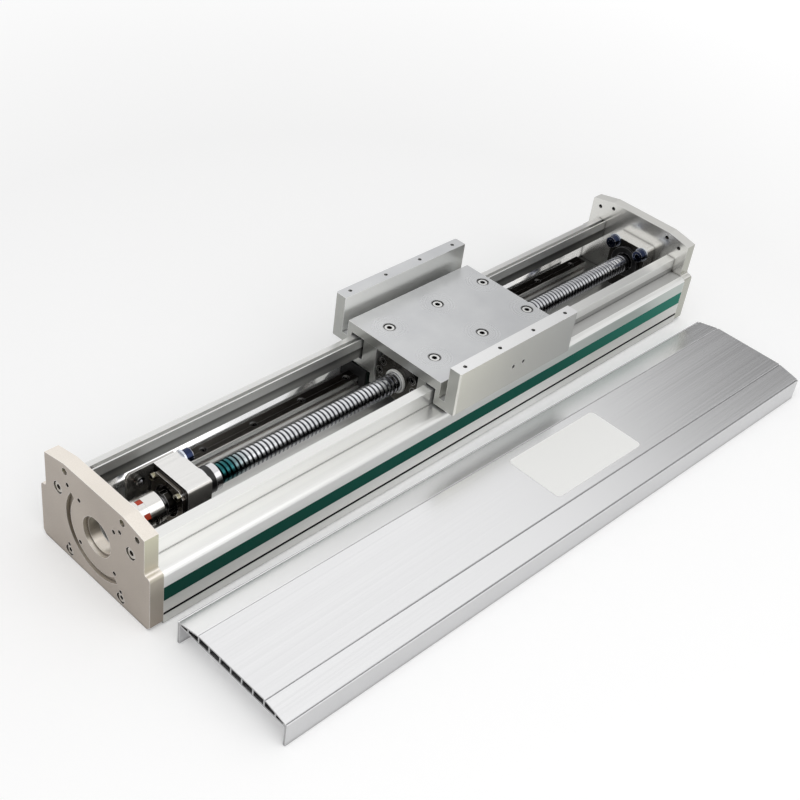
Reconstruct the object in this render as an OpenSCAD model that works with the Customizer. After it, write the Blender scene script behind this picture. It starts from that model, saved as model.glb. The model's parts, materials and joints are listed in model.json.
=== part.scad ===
// Enclosed ball screw linear module, shown with its top cover lifted off and laid beside it.
// X runs along the module, from the motor end to the free end. Y runs across it. Z is up.
// The origin is the centre of the base's bottom face.

/* [Overall] */
// Length of the base extrusion between the end plates
base_len = 736; // [500:1:1200]
// Full width of the base
base_w = 150; // [146:1:156]
// Thickness of each end plate
plate_t = 14; // [10:1:20]
// Height of the end plates' flat top
plate_h = 103; // [101:0.5:110]

/* [Base section] */
// Thickness of the floor under the rails
floor_t = 16; // [14:0.5:16]
// Height of the shoulder beside the upper walls
shoulder_z = 59.5; // [58:0.5:60]
// Thickness of the shoulder
shoulder_t = 4.5; // [3:0.5:5]
// Rounding of the shoulder's outer edge
shoulder_r = 5; // [2:0.5:6]
// Height of the upper walls' tops
wall_z = 76.5; // [74:0.5:77]
// Distance between the outer faces of the upper walls
wall_out_w = 110; // [108:0.5:111]
// Thickness of each upper wall
wall_t = 10.8; // [9:0.2:11]
// Thickness of each side wall beside the rails
side_t = 7.8; // [6:0.2:7.8]
// Height of the lower edge of the coloured side strips
strip_z = 27; // [25:0.5:28]
// Height of the coloured side strips
strip_h = 15.4; // [12:0.2:17]
// Thickness of the coloured side strips
strip_t = 2.2; // [1.5:0.1:2.5]
// Height of the lower edge of the narrow side groove
groove_z = 10.4; // [7:0.2:12]
// Width of the narrow side groove
groove_w = 3; // [2:0.2:4]
// Depth of the narrow side groove
groove_depth = 4.5; // [2:0.5:6]

/* [Guides] */
// Distance between the two rails' centre lines
rail_gap = 99; // [98:0.5:100]
// Width of a rail
rail_w = 15; // [14:0.5:15]
// Height of a rail
rail_h = 15; // [14:0.5:15.5]
// Length of a rail
rail_len = 650; // [480:10:650]
// Distance between rail screws
rail_pitch = 61; // [40:1:80]
// Width of a rail block
block_w = 34; // [32:0.5:34]
// Height of a rail block's top above the rail's bottom
block_top = 28; // [26:0.5:28]
// Length of a rail block's steel body
block_body_len = 39.4; // [34:0.2:42]
// Length of each end cap, without its seal
cap_len = 9; // [6:0.5:10]
// Thickness of each end seal
seal_t = 2; // [1:0.1:3]
// Distance between the two blocks on one rail
block_spacing = 112; // [110:1:114]

/* [Screw] */
// Height of the screw's axis
axis_z = 53.5; // [53:0.1:54]
// Sideways place of the screw's axis
axis_y = -4; // [-5:0.1:-3]
// Outer diameter of the screw
screw_d = 20; // [18:0.5:20]
// Lead of the screw
lead = 5; // [4:1:10]
// Depth of the ball groove
thread_depth = 1.4; // [0.8:0.1:1.8]
// Diameter of the bearing journals
journal_d = 15; // [12:0.5:16]
// Outer diameter of the bearings
bearing_od = 35; // [33:0.5:36]
// Width of one bearing
bearing_w = 11; // [9:0.5:11]
// Diameter of the shaft end in the coupling
shaft_end_d = 12; // [8:0.5:12]
// Diameter of the motor shaft that the coupling takes
motor_shaft_d = 8; // [6:0.5:10]
// Diameter of the coupling
coupling_d = 30; // [26:0.5:32]
// Length of one coupling hub
hub_len = 15; // [12:0.5:16]
// Gap between the hubs, which the spider fills
spider_gap = 6; // [5:0.5:8]

/* [Blocks] */
// Width of both bearing blocks
pillow_w = 47.5; // [46:0.5:49]
// Height of both bearing blocks' tops
pillow_top = 77.8; // [77:0.2:79]
// Thickness of the drive bearing block
drive_block_t = 25.5; // [25:0.5:28]
// Distance from the drive end plate to the drive bearing block
coupling_space = 61.5; // [60:0.5:64]
// Thickness of the tail bearing block
tail_block_t = 18; // [16:0.5:20]
// Distance from the screw's axis to a block bolt, sideways and upwards
block_bolt_off = 18.8; // [18.3:0.1:19]
// Side of the square bearing retainer
retainer_w = 43; // [42:0.5:45]
// Thickness of the bearing retainer
retainer_t = 4; // [3:0.5:5]
// Radius of the retainer's opening
retainer_r = 15; // [14:0.5:15.5]

/* [Carriage] */
// Length of the carriage
table_len = 176; // [175:1:190]
// Full width of the carriage
table_w = 168.6; // [166:0.2:172]
// Height of the carriage's middle face
table_z = 89.5; // [88:0.5:90]
// Height of the uprights' tops
upright_z = 111.8; // [108:0.2:118]
// Thickness of the uprights
upright_t = 13.8; // [12:0.2:14.2]
// Width of the slots that the cover's skirts run in
slot_w = 7.5; // [6:0.1:8]
// Height of the bottom of those slots
slot_z = 71.4; // [70:0.1:72]
// Height of the carriage's lowest face
table_low_z = 62; // [61.5:0.1:64]
// Gap between the carriage and the upper walls
wall_gap = 2.5; // [1.5:0.1:2.5]
// Place of the carriage's centre along X, as drawn
carriage_x = 53; // [-100:1:100]
// Distance between the holes along an upright
upright_pitch = 50; // [40:1:50]
// Distance between the two rows of upright holes
upright_rows = 155; // [154:0.5:156]
// Distance between the table screws along X
table_pitch = 70; // [69:0.5:71]
// Distance between the two rows of table screws
table_rows = 61.6; // [60:0.1:62]
// Offset of the table screws from the carriage's centre
table_offset = 7; // [6:0.5:8]

/* [Ball nut] */
// Diameter of the ball nut's body
nut_d = 36; // [34:0.5:37]
// Length of the ball nut's body behind its flange
nut_body_len = 42; // [30:1:60]
// Diameter of the ball nut's flange
flange_d = 56; // [54:0.5:56]
// Height of the flange across its two flats
flange_flat = 44; // [42:0.5:46]
// Thickness of the flange
flange_t = 10; // [8:0.5:10]
// Pitch circle of the flange screws
flange_pcd = 46; // [45:0.5:47]

/* [Cover] */
// Length of the cover
cover_len = 730; // [500:1:1190]
// Full width of the cover
cover_w = 134; // [133:0.5:135]
// Height of the cover
cover_h = 30.5; // [28:0.5:31]
// Width of the cover's flat top
cover_flat_w = 80.4; // [76:0.2:84]
// Drop from the flat top to the cover's edges
cover_drop = 5.8; // [4:0.2:6]
// Thickness of the cover's skins and webs
cover_skin = 1.6; // [1.2:0.1:2]
// Height of the hollow plate of the cover
cover_plate = 9.4; // [8.6:0.1:11]
// Thickness of the cover's skirts
skirt_t = 2.6; // [2:0.1:3]
// Number of hollow cells under the flat top
cover_cells = 6; // [4:1:8]
// Place of the cover's centre along X, as laid down
cover_x = -7.4; // [-60:0.2:60]
// Place of the cover's centre along Y, as laid down
cover_y = -170.5; // [-260:0.5:-165]
// Turn of the cover about Z, as laid down
cover_turn = -0.96; // [-1:0.01:1]
// Length of the plain label
label_len = 128; // [80:1:160]
// Width of the plain label
label_w = 64; // [40:1:70]
// Thickness of the plain label
label_t = 0.3; // [0.1:0.1:0.5]
// Place of the label along the cover
label_x = 61; // [-200:1:200]

/* [End plates] */
// Side of the motor's square of screw holes
motor_square = 47.14; // [46:0.01:47.5]
// Diameter of the motor's pilot
pilot_d = 38.1; // [36:0.1:39]
// Depth of the motor's pilot
pilot_depth = 4; // [2:0.5:6]
// Diameter of the opening behind the pilot
bore_d = 34; // [32:0.5:35]
// Inner radius of the arc recess round the motor holes
arc_in = 36.3; // [36:0.1:37]
// Outer radius of the arc recess
arc_out = 42.8; // [41:0.1:43]
// Depth of the arc recess
arc_depth = 3.5; // [2:0.5:5]
// Distance between the upper end-plate screws
upper_screw_gap = 99.6; // [99:0.1:100]
// Height of the upper end-plate screws
upper_screw_z = 70; // [69:0.1:70]
// Distance between the lower end-plate screws
lower_screw_gap = 72; // [68:0.5:76]
// Height of the lower end-plate screws
lower_screw_z = 7.8; // [7.5:0.1:8]

/* [Fits] */
// Radial clearance between a screw's shank and its hole
screw_fit = 0.05; // [0.02:0.01:0.1]
// Radial clearance between a ring and its seat
seat_fit = 0.02; // [0.01:0.01:0.03]
// Radial clearance between the ball nut and the screw
nut_fit = 0.06; // [0.03:0.01:0.1]
// Gap between a rail block and its rail
rail_fit = 0.3; // [0.2:0.05:0.4]
// Gap between a strip, label or seal and what it moves along
strip_fit = 0.1; // [0.05:0.05:0.2]

/* [Hidden] */

$fn = 64;
eps = 0.01;                 // how far a cut runs past the face it opens
through = 1;                // how far a through cut runs past both faces
lap = 1;                    // how far two mirrored halves reach into each other

// Base section
x0 = -base_len / 2;         // inner face of the drive end plate
x1 = base_len / 2;          // inner face of the tail end plate
half_w = base_w / 2;
wall_out = wall_out_w / 2;
wall_in = wall_out - wall_t;
cavity = half_w - side_t;
edge_bevel = 1;             // bottom edge bevel of the base
screw_well = 22;            // depth of the end-plate screw holes in the base
top_groove_y = 45.6;        // groove along the top of the far wall
top_groove_w = 3.8;
top_groove_depth = 5;
base_hole_x = 250;          // threaded holes in the base's bottom
base_hole_y = 30;
base_hole_r = 3.4;
base_hole_depth = 12;

// Rails
rail_y = rail_gap / 2;
rail_share = 30 / 43;       // share of the length beyond the rails that lies at the drive end
rail_x0 = x0 + (base_len - rail_len) * rail_share;
rail_end = 20;              // distance from a rail's end to its first screw
rail_count = floor((rail_len - 2 * rail_end) / rail_pitch) + 1;
rail_waist = 1.3;           // depth of the ball grooves in a rail's sides
waist_zs = [0.45, 0.55, 0.65, 0.75];        // heights of the grooves' corners, in rail heights
rail_edge = 0.6;            // bevel along the rail's top edges
rail_d = 4;                 // rail screws
rail_head_d = 7.5;
rail_head_depth = 5.3;
rail_screw_len = 16;
rail_top = floor_t + rail_h;

// Rail blocks
block_z0 = floor_t + 4.3;
block_z1 = floor_t + block_top;
cap_inset = 0.5;            // how much smaller than the block an end cap is
block_hole_x = 26;
block_hole_y = 24;
block_screw_len = 8;
block_xs = [carriage_x - block_spacing / 2, carriage_x + block_spacing / 2];

// Drive end of the screw
drive_x0 = x0 + coupling_space;             // front face of the drive block
drive_x1 = drive_x0 + drive_block_t;        // back face of the drive block
front_gap = 1;                              // from the front face to the first bearing
bearing_x0 = drive_x0 + front_gap;
bearing_x1 = bearing_x0 + 2 * bearing_w;
shoulder_hole_r = 14;                       // opening behind the bearings
collar_r = 13.5;
collar_len = 20;
collar_gap = 2;                             // from the drive block to the collar
collar_x0 = drive_x1 + collar_gap;
collar_seat = 0.1;                          // how much the shaft is turned down for collar and lock nut
groove_at = 7;                              // stop ring's groove in the collar
groove_x0 = collar_x0 + groove_at;
groove_len = 7;
groove_r = 11;
ring2_r = 13;
nut_len = 11;                               // lock nut
nut_r = 12.2;
nut_slot = 4;
nut_slot_depth = 2;
nut_relief = 0.5;                           // from the lock nut to the shaft's step
pillow_y0 = axis_y - pillow_w / 2;
pillow_y1 = axis_y + pillow_w / 2;
pillow_r = 4;                               // rounding of the blocks' upper near corner

// Tail end of the screw
tail_x0 = x1 - tail_block_t;                // face of the tail block towards the carriage
tail_lip = 2;                               // from the tail block's face to its bearing
tail_bearing_x0 = tail_x0 + tail_lip;
tail_bearing_x1 = tail_bearing_x0 + bearing_w;
ring_gap = 0.4;                             // from the bearing to its retaining ring
clip_t = 1;
clip_x0 = tail_bearing_x1 + ring_gap;
clip_depth = 0.5;
clip_w = 2.5;                               // width of the retaining ring's band
cap_out = 3.2;                              // how far the bearing cap stands out of the block
cap_in_r = 11;                              // its opening round the screw

// Screw
screw_r = screw_d / 2;
thread_x0 = collar_x0 + collar_len + collar_gap;
tail_neck = 10;                             // plain neck between the thread and the tail block
thread_x1 = tail_x0 - tail_neck;
thread_core = screw_r - thread_depth;
crest_w = 2.2 * lead / 5;
journal_r = journal_d / 2;
shaft_end_r = shaft_end_d / 2;
shaft_gap = 1;                              // from the spider to the shaft's end
tail_end_gap = 2;                           // from the shaft's end to the tail end plate
thread_count = floor((thread_x1 - thread_x0) / lead);

// Coupling
coupling_r = coupling_d / 2;
spider_at = 25;                             // from the drive end plate to the spider
spider_x0 = x0 + spider_at;
spider_x1 = spider_x0 + spider_gap;
hub_motor_x0 = spider_x0 - hub_len;
hub_screw_x1 = spider_x1 + hub_len;
jaw_in = 6.5;
jaw_angle = 38;
arm_angle = 20;
jaw_gap = 0.2;
jaw_root = 1;                               // how far a jaw reaches into its hub
arm_root = 1;
spider_bore_r = 5;
slit_w = 1.2;
clamp_d = 4;
clamp_off = 9.5;                            // clamp screw to the coupling's axis
clamp_head = 3.5;
clamp_len = 9.5;
clamp_turn = 55;

// Bearings
race_in = 10.6;                             // inner ring's outer radius
race_out = 14.2;                            // outer ring's inner radius
neck_r = race_in - 1.3;                     // shaft's shoulder against the tail bearing
ball_r = 2.6;
ball_path = (race_in + race_out) / 2;
ball_fit = 0.06;
ball_count = 8;

// Block bolts
bolt_d = 8;
washer_r = 8;
washer_t = 1.6;
drive_bolt_len = 14;
tail_bolt_len = 30;

// Stay plate on the far side of the drive block, reaching along the coupling
stay_reach = 27.8;
stay_t = 2.5;
stay_z0 = 40;
stay_bevel = 3;
stay_d = 4;
stay_len = 10;
stay_hole_zs = [46, 66];
stay_front_d = 5;
stay_front_len = 6;
stay_front_x = drive_x0 - 17;
stay_front_z = 69;

// Retainer
retainer_d = 4;
retainer_off = 16.75;
retainer_screw_len = 12;
retainer_bevel = 6;

// Base screws under the drive block
base_screw_d = 6;
base_screw_dx = 15;
base_screw_dy = 34;
base_screw_len = 24;
base_head_depth = 7;

// Ends of the carriage
table_x0 = carriage_x - table_len / 2;
table_x1 = carriage_x + table_len / 2;
table_under = wall_z + wall_gap;            // underside over the walls
upright_in = table_w / 2 - upright_t;
slot_in = upright_in - slot_w;
leg_in = wall_out + wall_gap;
slot_web = 5;                               // least wall between a slot and the cut over the upper wall
end_bevel = 1.5;
low_bevel = 2;
upright_tap_r = 2.1;
upright_tap_depth = 14;
table_d = 6;
table_head_depth = 6.6;
table_screw_len = 22;
port_r = 2;
port_depth_y = 8;
port_z = 85.2;
port_xs = [-6.2, 8.8];

// Saddle
flange_inset = 5;                           // from the carriage's drive end to the nut's flange
flange_x0 = table_x0 + flange_inset;        // face of the nut's flange towards the motor
flange_x1 = flange_x0 + flange_t;
saddle_inset = 3;                           // from the carriage's ends to the saddle's
saddle_x1 = table_x1 - saddle_inset;
saddle_x0 = table_x0 + saddle_inset;
wing_gap = 0.8;                             // between the wings and the side walls
wing_y = cavity - wing_gap;
wing_t = 8;
wing_z1 = block_z1 + wing_t;
neck_gap = 1.8;                             // between the saddle's neck and the upper walls
neck_y = wall_in - neck_gap;
keel_y = 29;
keel_z = 33;
pocket_gap = 0.6;                           // round the flange
head_room = 4.4;                            // counterbore depth of the rail block screws
flange_screw_d = 5;
flange_screw_len = 14;
flange_angles = [0, 30, 150, 180, 210, 330];
wiper_in = 0.3;                             // wiper ring to the screw
wiper_w = 2.2;
wiper_r = 12.4;

// End plates
plate_slope = 5.8;                          // drop of the slopes beside the flat top
plate_shoulder_z = plate_h - plate_slope;
plate_flat = 40.3;                          // half width of the flat top
plate_upper = 67.5;                         // half width of the upper part
step_z = shoulder_z;                        // inner corner of the step
edge_round = 4;
step_r = 3;
foot_bevel = 4;
plate_screw_d = 6;
plate_lower_d = 5;
plate_screw_len = 28;
head_gap = 1;                               // counterbore radius beyond the head
motor_r = 2.1;
arc_from = -130;
arc_to = 35;
cover_hole = [[38.3, 96], [56.1, 90.8]];    // holes for the cover's screws
cover_hole_r = 2.3;
drive_hole = [38.9, 95.2];
drive_hole_r = 3.4;
corner_hole = [-58.5, 91.5];
corner_hole_r = 3;
dowel_hole = [35.6, 82.8];
dowel_r = 2.1;
dowel_low = [36, 15];
dowel_low_r = 1.8;

// Cover
cover_hw = cover_w / 2;
flat_hw = cover_flat_w / 2;
cell_pitch = cover_flat_w / cover_cells;
plate_z0 = cover_h - cover_plate;
cover_edge_z = cover_h - cover_drop;
line_w = 1.8;                               // V lines along the cover's bends and edges
line_depth = 1;
line_inset = 0.5;                           // from an edge to the nearer lip of a V line
line_ys = [flat_hw + line_w / 2, cover_hw - line_inset - line_w / 2];
label_r = 5;

// Colours
aluminium = "gainsboro";
blasted = "tan";
steel = "silver";
dark = [0.15, 0.15, 0.16];
zinc = [0.55, 0.6, 0.72];
green = [0.05, 0.4, 0.34];
red = [0.8, 0.15, 0.08];

// ---------------------------------------------------------------- helpers

// Sweeps a (Y, Z) section along X
module along_x(from, len) {
    translate([from, 0, 0]) rotate([90, 0, 90]) linear_extrude(height = len) children();
}

// Cylinder along X, at (y, z)
module rod(from, len, y, z, r) {
    translate([from, y, z]) rotate([0, 90, 0]) cylinder(h = len, r = r);
}

// Box between two corners
module block(low, high) {
    translate(low) cube(high - low);
}

// Ring along X
module ring(from, len, y, z, r_in, r_out) {
    translate([from, y, z]) rotate([0, 90, 0]) rotate_extrude() translate([r_in, 0])
        square([r_out - r_in, len]);
}

// Both sides of a half section drawn for Y above 0
module both_sides() {
    union() {
        children();
        mirror([1, 0]) children();
    }
}

// Socket head cap screw: the seat is at the origin, the head points to +Z
function head_r(d) = (1.5 * d + 1) / 2;
function hex_r(d) = (d <= 6 ? d - 1 : 6) / 2 / cos(30);
module cap_screw(d, len, head_h = 0) {
    h = head_h > 0 ? head_h : d;
    translate([0, 0, -len]) cylinder(h = len, r = d / 2);
    difference() {
        cylinder(h = h, r = head_r(d));
        translate([0, 0, h * 0.45]) cylinder(h = h, r = hex_r(d), $fn = 6);
    }
}

// Turns +Z to +X or to -X at a place
module face_x(at, dir) {
    translate(at) rotate([0, 90 * dir, 0]) children();
}

// ---------------------------------------------------------------- base

module base_half() {
    difference() {
        union() {
            polygon([[-lap, 0], [half_w - edge_bevel, 0], [half_w, edge_bevel],
                     [half_w, shoulder_z - shoulder_r],
                     [half_w - shoulder_r, shoulder_z - shoulder_r],
                     [half_w - shoulder_r, shoulder_z], [wall_out, shoulder_z],
                     [wall_out, wall_z], [wall_in, wall_z], [wall_in, shoulder_z - shoulder_t],
                     [cavity, shoulder_z - shoulder_t], [cavity, floor_t], [-lap, floor_t]]);
            translate([half_w - shoulder_r, shoulder_z - shoulder_r]) circle(r = shoulder_r);
        }
        translate([wall_in, floor_t]) square([cavity - wall_in, shoulder_z - shoulder_t - floor_t]);
        translate([half_w - strip_t - strip_fit, strip_z]) square([strip_t + through, strip_h]);
        translate([half_w - groove_depth, groove_z]) square([groove_depth + through, groove_w]);
    }
}

module base_section() {
    difference() {
        both_sides() base_half();
        translate([top_groove_y, wall_z - top_groove_depth])
            square([top_groove_w, top_groove_depth + through]);
    }
}

// Places children at the four end-plate screws, on the plane at x
module plate_screw_places(x, upper) {
    gap = upper ? upper_screw_gap : lower_screw_gap;
    z = upper ? upper_screw_z : lower_screw_z;
    for (s = [-1, 1]) translate([x, s * gap / 2, z]) children();
}

module rail_places() {
    for (i = [0 : rail_count - 1]) translate([rail_x0 + rail_end + i * rail_pitch, 0, 0]) children();
}

module base_screw_places() {
    for (i = [-1, 1], j = [-1, 1])
        translate([(drive_x0 + drive_x1) / 2 + i * base_screw_dx / 2,
                   axis_y + j * base_screw_dy / 2, 0]) children();
}

module base_extrusion() {
    color(aluminium) difference() {
        along_x(x0, base_len) base_section();
        for (x = [x0 - eps, x1 - screw_well]) {
            plate_screw_places(x, true) rod(0, screw_well + eps, 0, 0, plate_screw_d / 2 + screw_fit);
            plate_screw_places(x, false) rod(0, screw_well + eps, 0, 0, plate_lower_d / 2 + screw_fit);
        }
        rail_places() for (s = [-1, 1])
            translate([0, s * rail_y, rail_top - rail_head_depth - rail_screw_len - through])
                cylinder(h = rail_screw_len + rail_head_depth, r = rail_d / 2 + screw_fit);
        for (i = [-1, 1], j = [-1, 1]) translate([i * base_hole_x, j * base_hole_y, -eps])
            cylinder(h = base_hole_depth, r = base_hole_r);
        base_screw_places() {
            translate([0, 0, -eps])
                cylinder(h = base_head_depth, r = head_r(base_screw_d) + head_gap / 2);
            cylinder(h = floor_t + through, r = base_screw_d / 2 + screw_fit);
        }
    }
}

module side_strip() {
    color(green) along_x(x0, base_len)
        translate([half_w - strip_t, strip_z + strip_fit / 2])
            square([strip_t - strip_fit, strip_h - strip_fit]);
}
module side_strip_far() { side_strip(); }
module side_strip_near() { mirror([0, 1, 0]) side_strip(); }

// ---------------------------------------------------------------- end plates

module plate_half() {
    difference() {
        union() {
            polygon([[-lap, 0], [half_w - foot_bevel, 0], [half_w, foot_bevel],
                     [half_w, step_z - edge_round], [half_w - edge_round, step_z - edge_round],
                     [half_w - edge_round, step_z], [plate_upper + step_r, step_z],
                     [plate_upper + step_r, step_z + step_r], [plate_upper, step_z + step_r],
                     [plate_upper, plate_shoulder_z], [plate_flat, plate_h], [-lap, plate_h]]);
            translate([half_w - edge_round, step_z - edge_round]) circle(r = edge_round);
        }
        translate([plate_upper + step_r, step_z + step_r]) circle(r = step_r);
    }
}

module end_plate_blank(x, head_side) {
    difference() {
        along_x(x, plate_t) both_sides() plate_half();
        plate_screw_places(x, true) plate_screw_hole(plate_screw_d, head_side);
        plate_screw_places(x, false) plate_screw_hole(plate_lower_d, head_side);
    }
}

// Counterbored hole through a plate whose lower face in X is at 0
module plate_screw_hole(d, head_side) {
    head_x = head_side < 0 ? -through : plate_t - d - head_gap;
    rod(-through, plate_t + 2 * through, 0, 0, d / 2 + screw_fit);
    rod(head_x, d + head_gap + through, 0, 0, head_r(d) + head_gap);
}

// Wedge between two angles, its outer edge in straight steps beyond the circle it is cut with
module wedge(from, to, reach, steps) {
    polygon(concat([[0, 0]], [for (i = [0 : steps]) let (a = from + i * (to - from) / steps)
                              [reach * cos(a), reach * sin(a)]]));
}

module arc_recess() {
    from = x0 - plate_t;
    reach = 2 * arc_out;
    translate([0, axis_y, axis_z]) along_x(from - through, arc_depth + through) difference() {
        intersection() {
            circle(r = arc_out);
            wedge(arc_from, arc_to, reach, 6);
        }
        circle(r = arc_in);
    }
}

module drive_end_plate() {
    outer = x0 - plate_t;
    color(blasted) difference() {
        end_plate_blank(outer, -1);
        rod(outer - through, pilot_depth + through, axis_y, axis_z, pilot_d / 2);
        rod(outer, plate_t + through, axis_y, axis_z, bore_d / 2);
        arc_recess();
        for (i = [-1, 1], j = [-1, 1])
            rod(outer - through, plate_t + 2 * through, axis_y + i * motor_square / 2,
                axis_z + j * motor_square / 2, motor_r);
        for (s = [-1, 1]) {
            rod(outer - through, plate_t + 2 * through, s * drive_hole.x, drive_hole.y, drive_hole_r);
            rod(outer - through, plate_t + 2 * through, s * dowel_hole.x, dowel_hole.y, dowel_r);
            rod(outer - through, pilot_depth + through, s * dowel_low.x, dowel_low.y, dowel_low_r);
        }
        rod(outer - through, plate_t + 2 * through, corner_hole.x, corner_hole.y, corner_hole_r);
    }
}

module tail_end_plate() {
    color(blasted) difference() {
        end_plate_blank(x1, 1);
        for (s = [-1, 1], h = cover_hole)
            rod(x1 - through, plate_t + 2 * through, s * h.x, h.y, cover_hole_r);
        tail_block_places() rod(0, tail_block_t + plate_t + through, 0, 0, bolt_d / 2 + screw_fit);
    }
}

// The four screws of an end plate whose outer face is at x, with their heads towards side
module plate_screws(x, side) {
    color(dark) {
        plate_screw_places(x - side * (plate_screw_d + head_gap), true) face_x([0, 0, 0], side)
            cap_screw(plate_screw_d, plate_screw_len);
        plate_screw_places(x - side * (plate_lower_d + head_gap), false) face_x([0, 0, 0], side)
            cap_screw(plate_lower_d, plate_screw_len);
    }
}
module drive_plate_screws() { plate_screws(x0 - plate_t, -1); }
module tail_plate_screws() { plate_screws(x1 + plate_t, 1); }

// ---------------------------------------------------------------- bearing blocks

// Section of both bearing blocks, with the near upper corner rounded
module pillow_section() {
    difference() {
        translate([pillow_y0, floor_t]) square([pillow_w, pillow_top - floor_t]);
        translate([pillow_y0 - eps, pillow_top - pillow_r]) square([pillow_r + eps, pillow_r + eps]);
    }
    intersection() {
        translate([pillow_y0 + pillow_r, pillow_top - pillow_r]) circle(r = pillow_r);
        translate([pillow_y0, pillow_top - pillow_r]) square([pillow_r, pillow_r]);
    }
}

// Places children round the screw's axis at the four corners of a square
module corners(off) {
    for (i = [-1, 1], j = [-1, 1]) translate([0, axis_y + i * off, axis_z + j * off]) children();
}

module drive_bearing_block() {
    color(steel) difference() {
        along_x(drive_x0, drive_block_t) pillow_section();
        rod(drive_x0 - eps, front_gap + 2 * bearing_w + eps, axis_y, axis_z, bearing_od / 2 + seat_fit);
        rod(drive_x0, drive_block_t + through, axis_y, axis_z, shoulder_hole_r);
        rod(drive_x1 - drive_bolt_len, drive_bolt_len + through, axis_y + block_bolt_off,
            axis_z + block_bolt_off, bolt_d / 2 + screw_fit);
        corners(retainer_off) rod(drive_x0 - eps, retainer_screw_len - retainer_t + eps, 0, 0,
                                  retainer_d / 2 + screw_fit);
        base_screw_places() translate([0, 0, floor_t - eps])
            cylinder(h = base_head_depth + base_screw_len - floor_t + eps,
                     r = base_screw_d / 2 + screw_fit);
        for (z = stay_hole_zs) stay_screw_place(z)
            cylinder(h = stay_len - stay_t, r = stay_d / 2 + screw_fit);
    }
}

// A screw of the stay in the block's far face, with +Z pointing into the block
module stay_screw_place(z) {
    translate([drive_x1 - drive_block_t / 3, pillow_y1 + eps, z]) rotate([90, 0, 0]) children();
}

module drive_block_base_screws() {
    color(dark) base_screw_places() translate([0, 0, base_head_depth]) rotate([180, 0, 0])
        cap_screw(base_screw_d, base_screw_len);
}

module coupling_stay() {
    from = drive_x0 - stay_reach;
    to = drive_x1 - stay_bevel;
    color(dark) difference() {
        translate([0, pillow_y1 + stay_t, 0]) rotate([90, 0, 0]) linear_extrude(height = stay_t)
            polygon([[from, stay_z0 + stay_bevel], [from + stay_bevel, stay_z0], [to, stay_z0],
                     [to, pillow_top], [from + stay_bevel, pillow_top],
                     [from, pillow_top - stay_bevel]]);
        for (z = stay_hole_zs) translate([0, stay_t, 0]) stay_screw_place(z)
            cylinder(h = 2 * stay_t, r = stay_d / 2 + screw_fit);
        translate([stay_front_x, pillow_y1 + stay_t + through, stay_front_z]) rotate([90, 0, 0])
            cylinder(h = stay_t + 2 * through, r = stay_front_d / 2 + screw_fit);
    }
}

module stay_screws() {
    color(steel) {
        for (z = stay_hole_zs) translate([0, stay_t - eps, 0]) stay_screw_place(z) mirror([0, 0, 1])
            cap_screw(stay_d, stay_len - through);
        translate([stay_front_x, pillow_y1, stay_front_z]) rotate([90, 0, 0])
            cap_screw(stay_front_d, stay_front_len);
    }
}

module bearing_retainer() {
    across = retainer_w * sqrt(2) - retainer_bevel * sqrt(2);
    color(dark) difference() {
        translate([0, axis_y, axis_z]) union() {
            along_x(drive_x0 - retainer_t, retainer_t) intersection() {
                square([retainer_w, retainer_w], center = true);
                rotate(45) square([across, retainer_w * 2], center = true);
                rotate(45) square([retainer_w * 2, across], center = true);
            }
            rod(drive_x0 - eps, front_gap + eps, 0, 0, bearing_od / 2 - 2 * strip_fit);
        }
        rod(drive_x0 - retainer_t - through, retainer_t + front_gap + 2 * through, axis_y, axis_z,
            retainer_r);
        corners(retainer_off) rod(drive_x0 - retainer_t - through, retainer_t + 2 * through, 0, 0,
                                  retainer_d / 2 + screw_fit);
    }
}

module retainer_screws() {
    color(steel) corners(retainer_off) face_x([drive_x0 - retainer_t, 0, 0], -1)
        cap_screw(retainer_d, retainer_screw_len);
}

// Ball bearing parts, each one bearing wide from x
module race(from, r_in, r_out) {
    translate([from, axis_y, axis_z]) rotate([0, 90, 0]) rotate_extrude() difference() {
        translate([r_in, 0]) square([r_out - r_in, bearing_w]);
        translate([ball_path, bearing_w / 2]) circle(r = ball_r + ball_fit);
    }
}

module inner_race(from) { race(from, journal_r + seat_fit, race_in); }
module outer_race(from) { race(from, race_out, bearing_od / 2); }

module bearing_balls(from) {
    for (i = [0 : ball_count - 1])
        translate([from + bearing_w / 2, axis_y, axis_z]) rotate([i * 360 / ball_count, 0, 0])
            translate([0, ball_path, 0]) sphere(r = ball_r, $fn = 24);
}

module drive_bearing_outer_rings() {
    color(steel) for (i = [0, 1]) outer_race(bearing_x0 + i * bearing_w);
}
module drive_bearing_balls() {
    color(steel) for (i = [0, 1]) bearing_balls(bearing_x0 + i * bearing_w);
}
module drive_bearing_inner_rings() {
    color(steel) for (i = [0, 1]) inner_race(bearing_x0 + i * bearing_w);
}

module drive_block_bolt() {
    color(zinc) face_x([drive_x1 + washer_t, axis_y + block_bolt_off, axis_z + block_bolt_off], 1)
        cap_screw(bolt_d, drive_bolt_len);
}
module drive_block_washer() {
    color(zinc) ring(drive_x1, washer_t, axis_y + block_bolt_off, axis_z + block_bolt_off,
        bolt_d / 2 + screw_fit, washer_r);
}

module tail_block_places() {
    for (s = [-1, 1])
        translate([tail_x0, axis_y + s * block_bolt_off, axis_z + block_bolt_off]) children();
}

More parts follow.
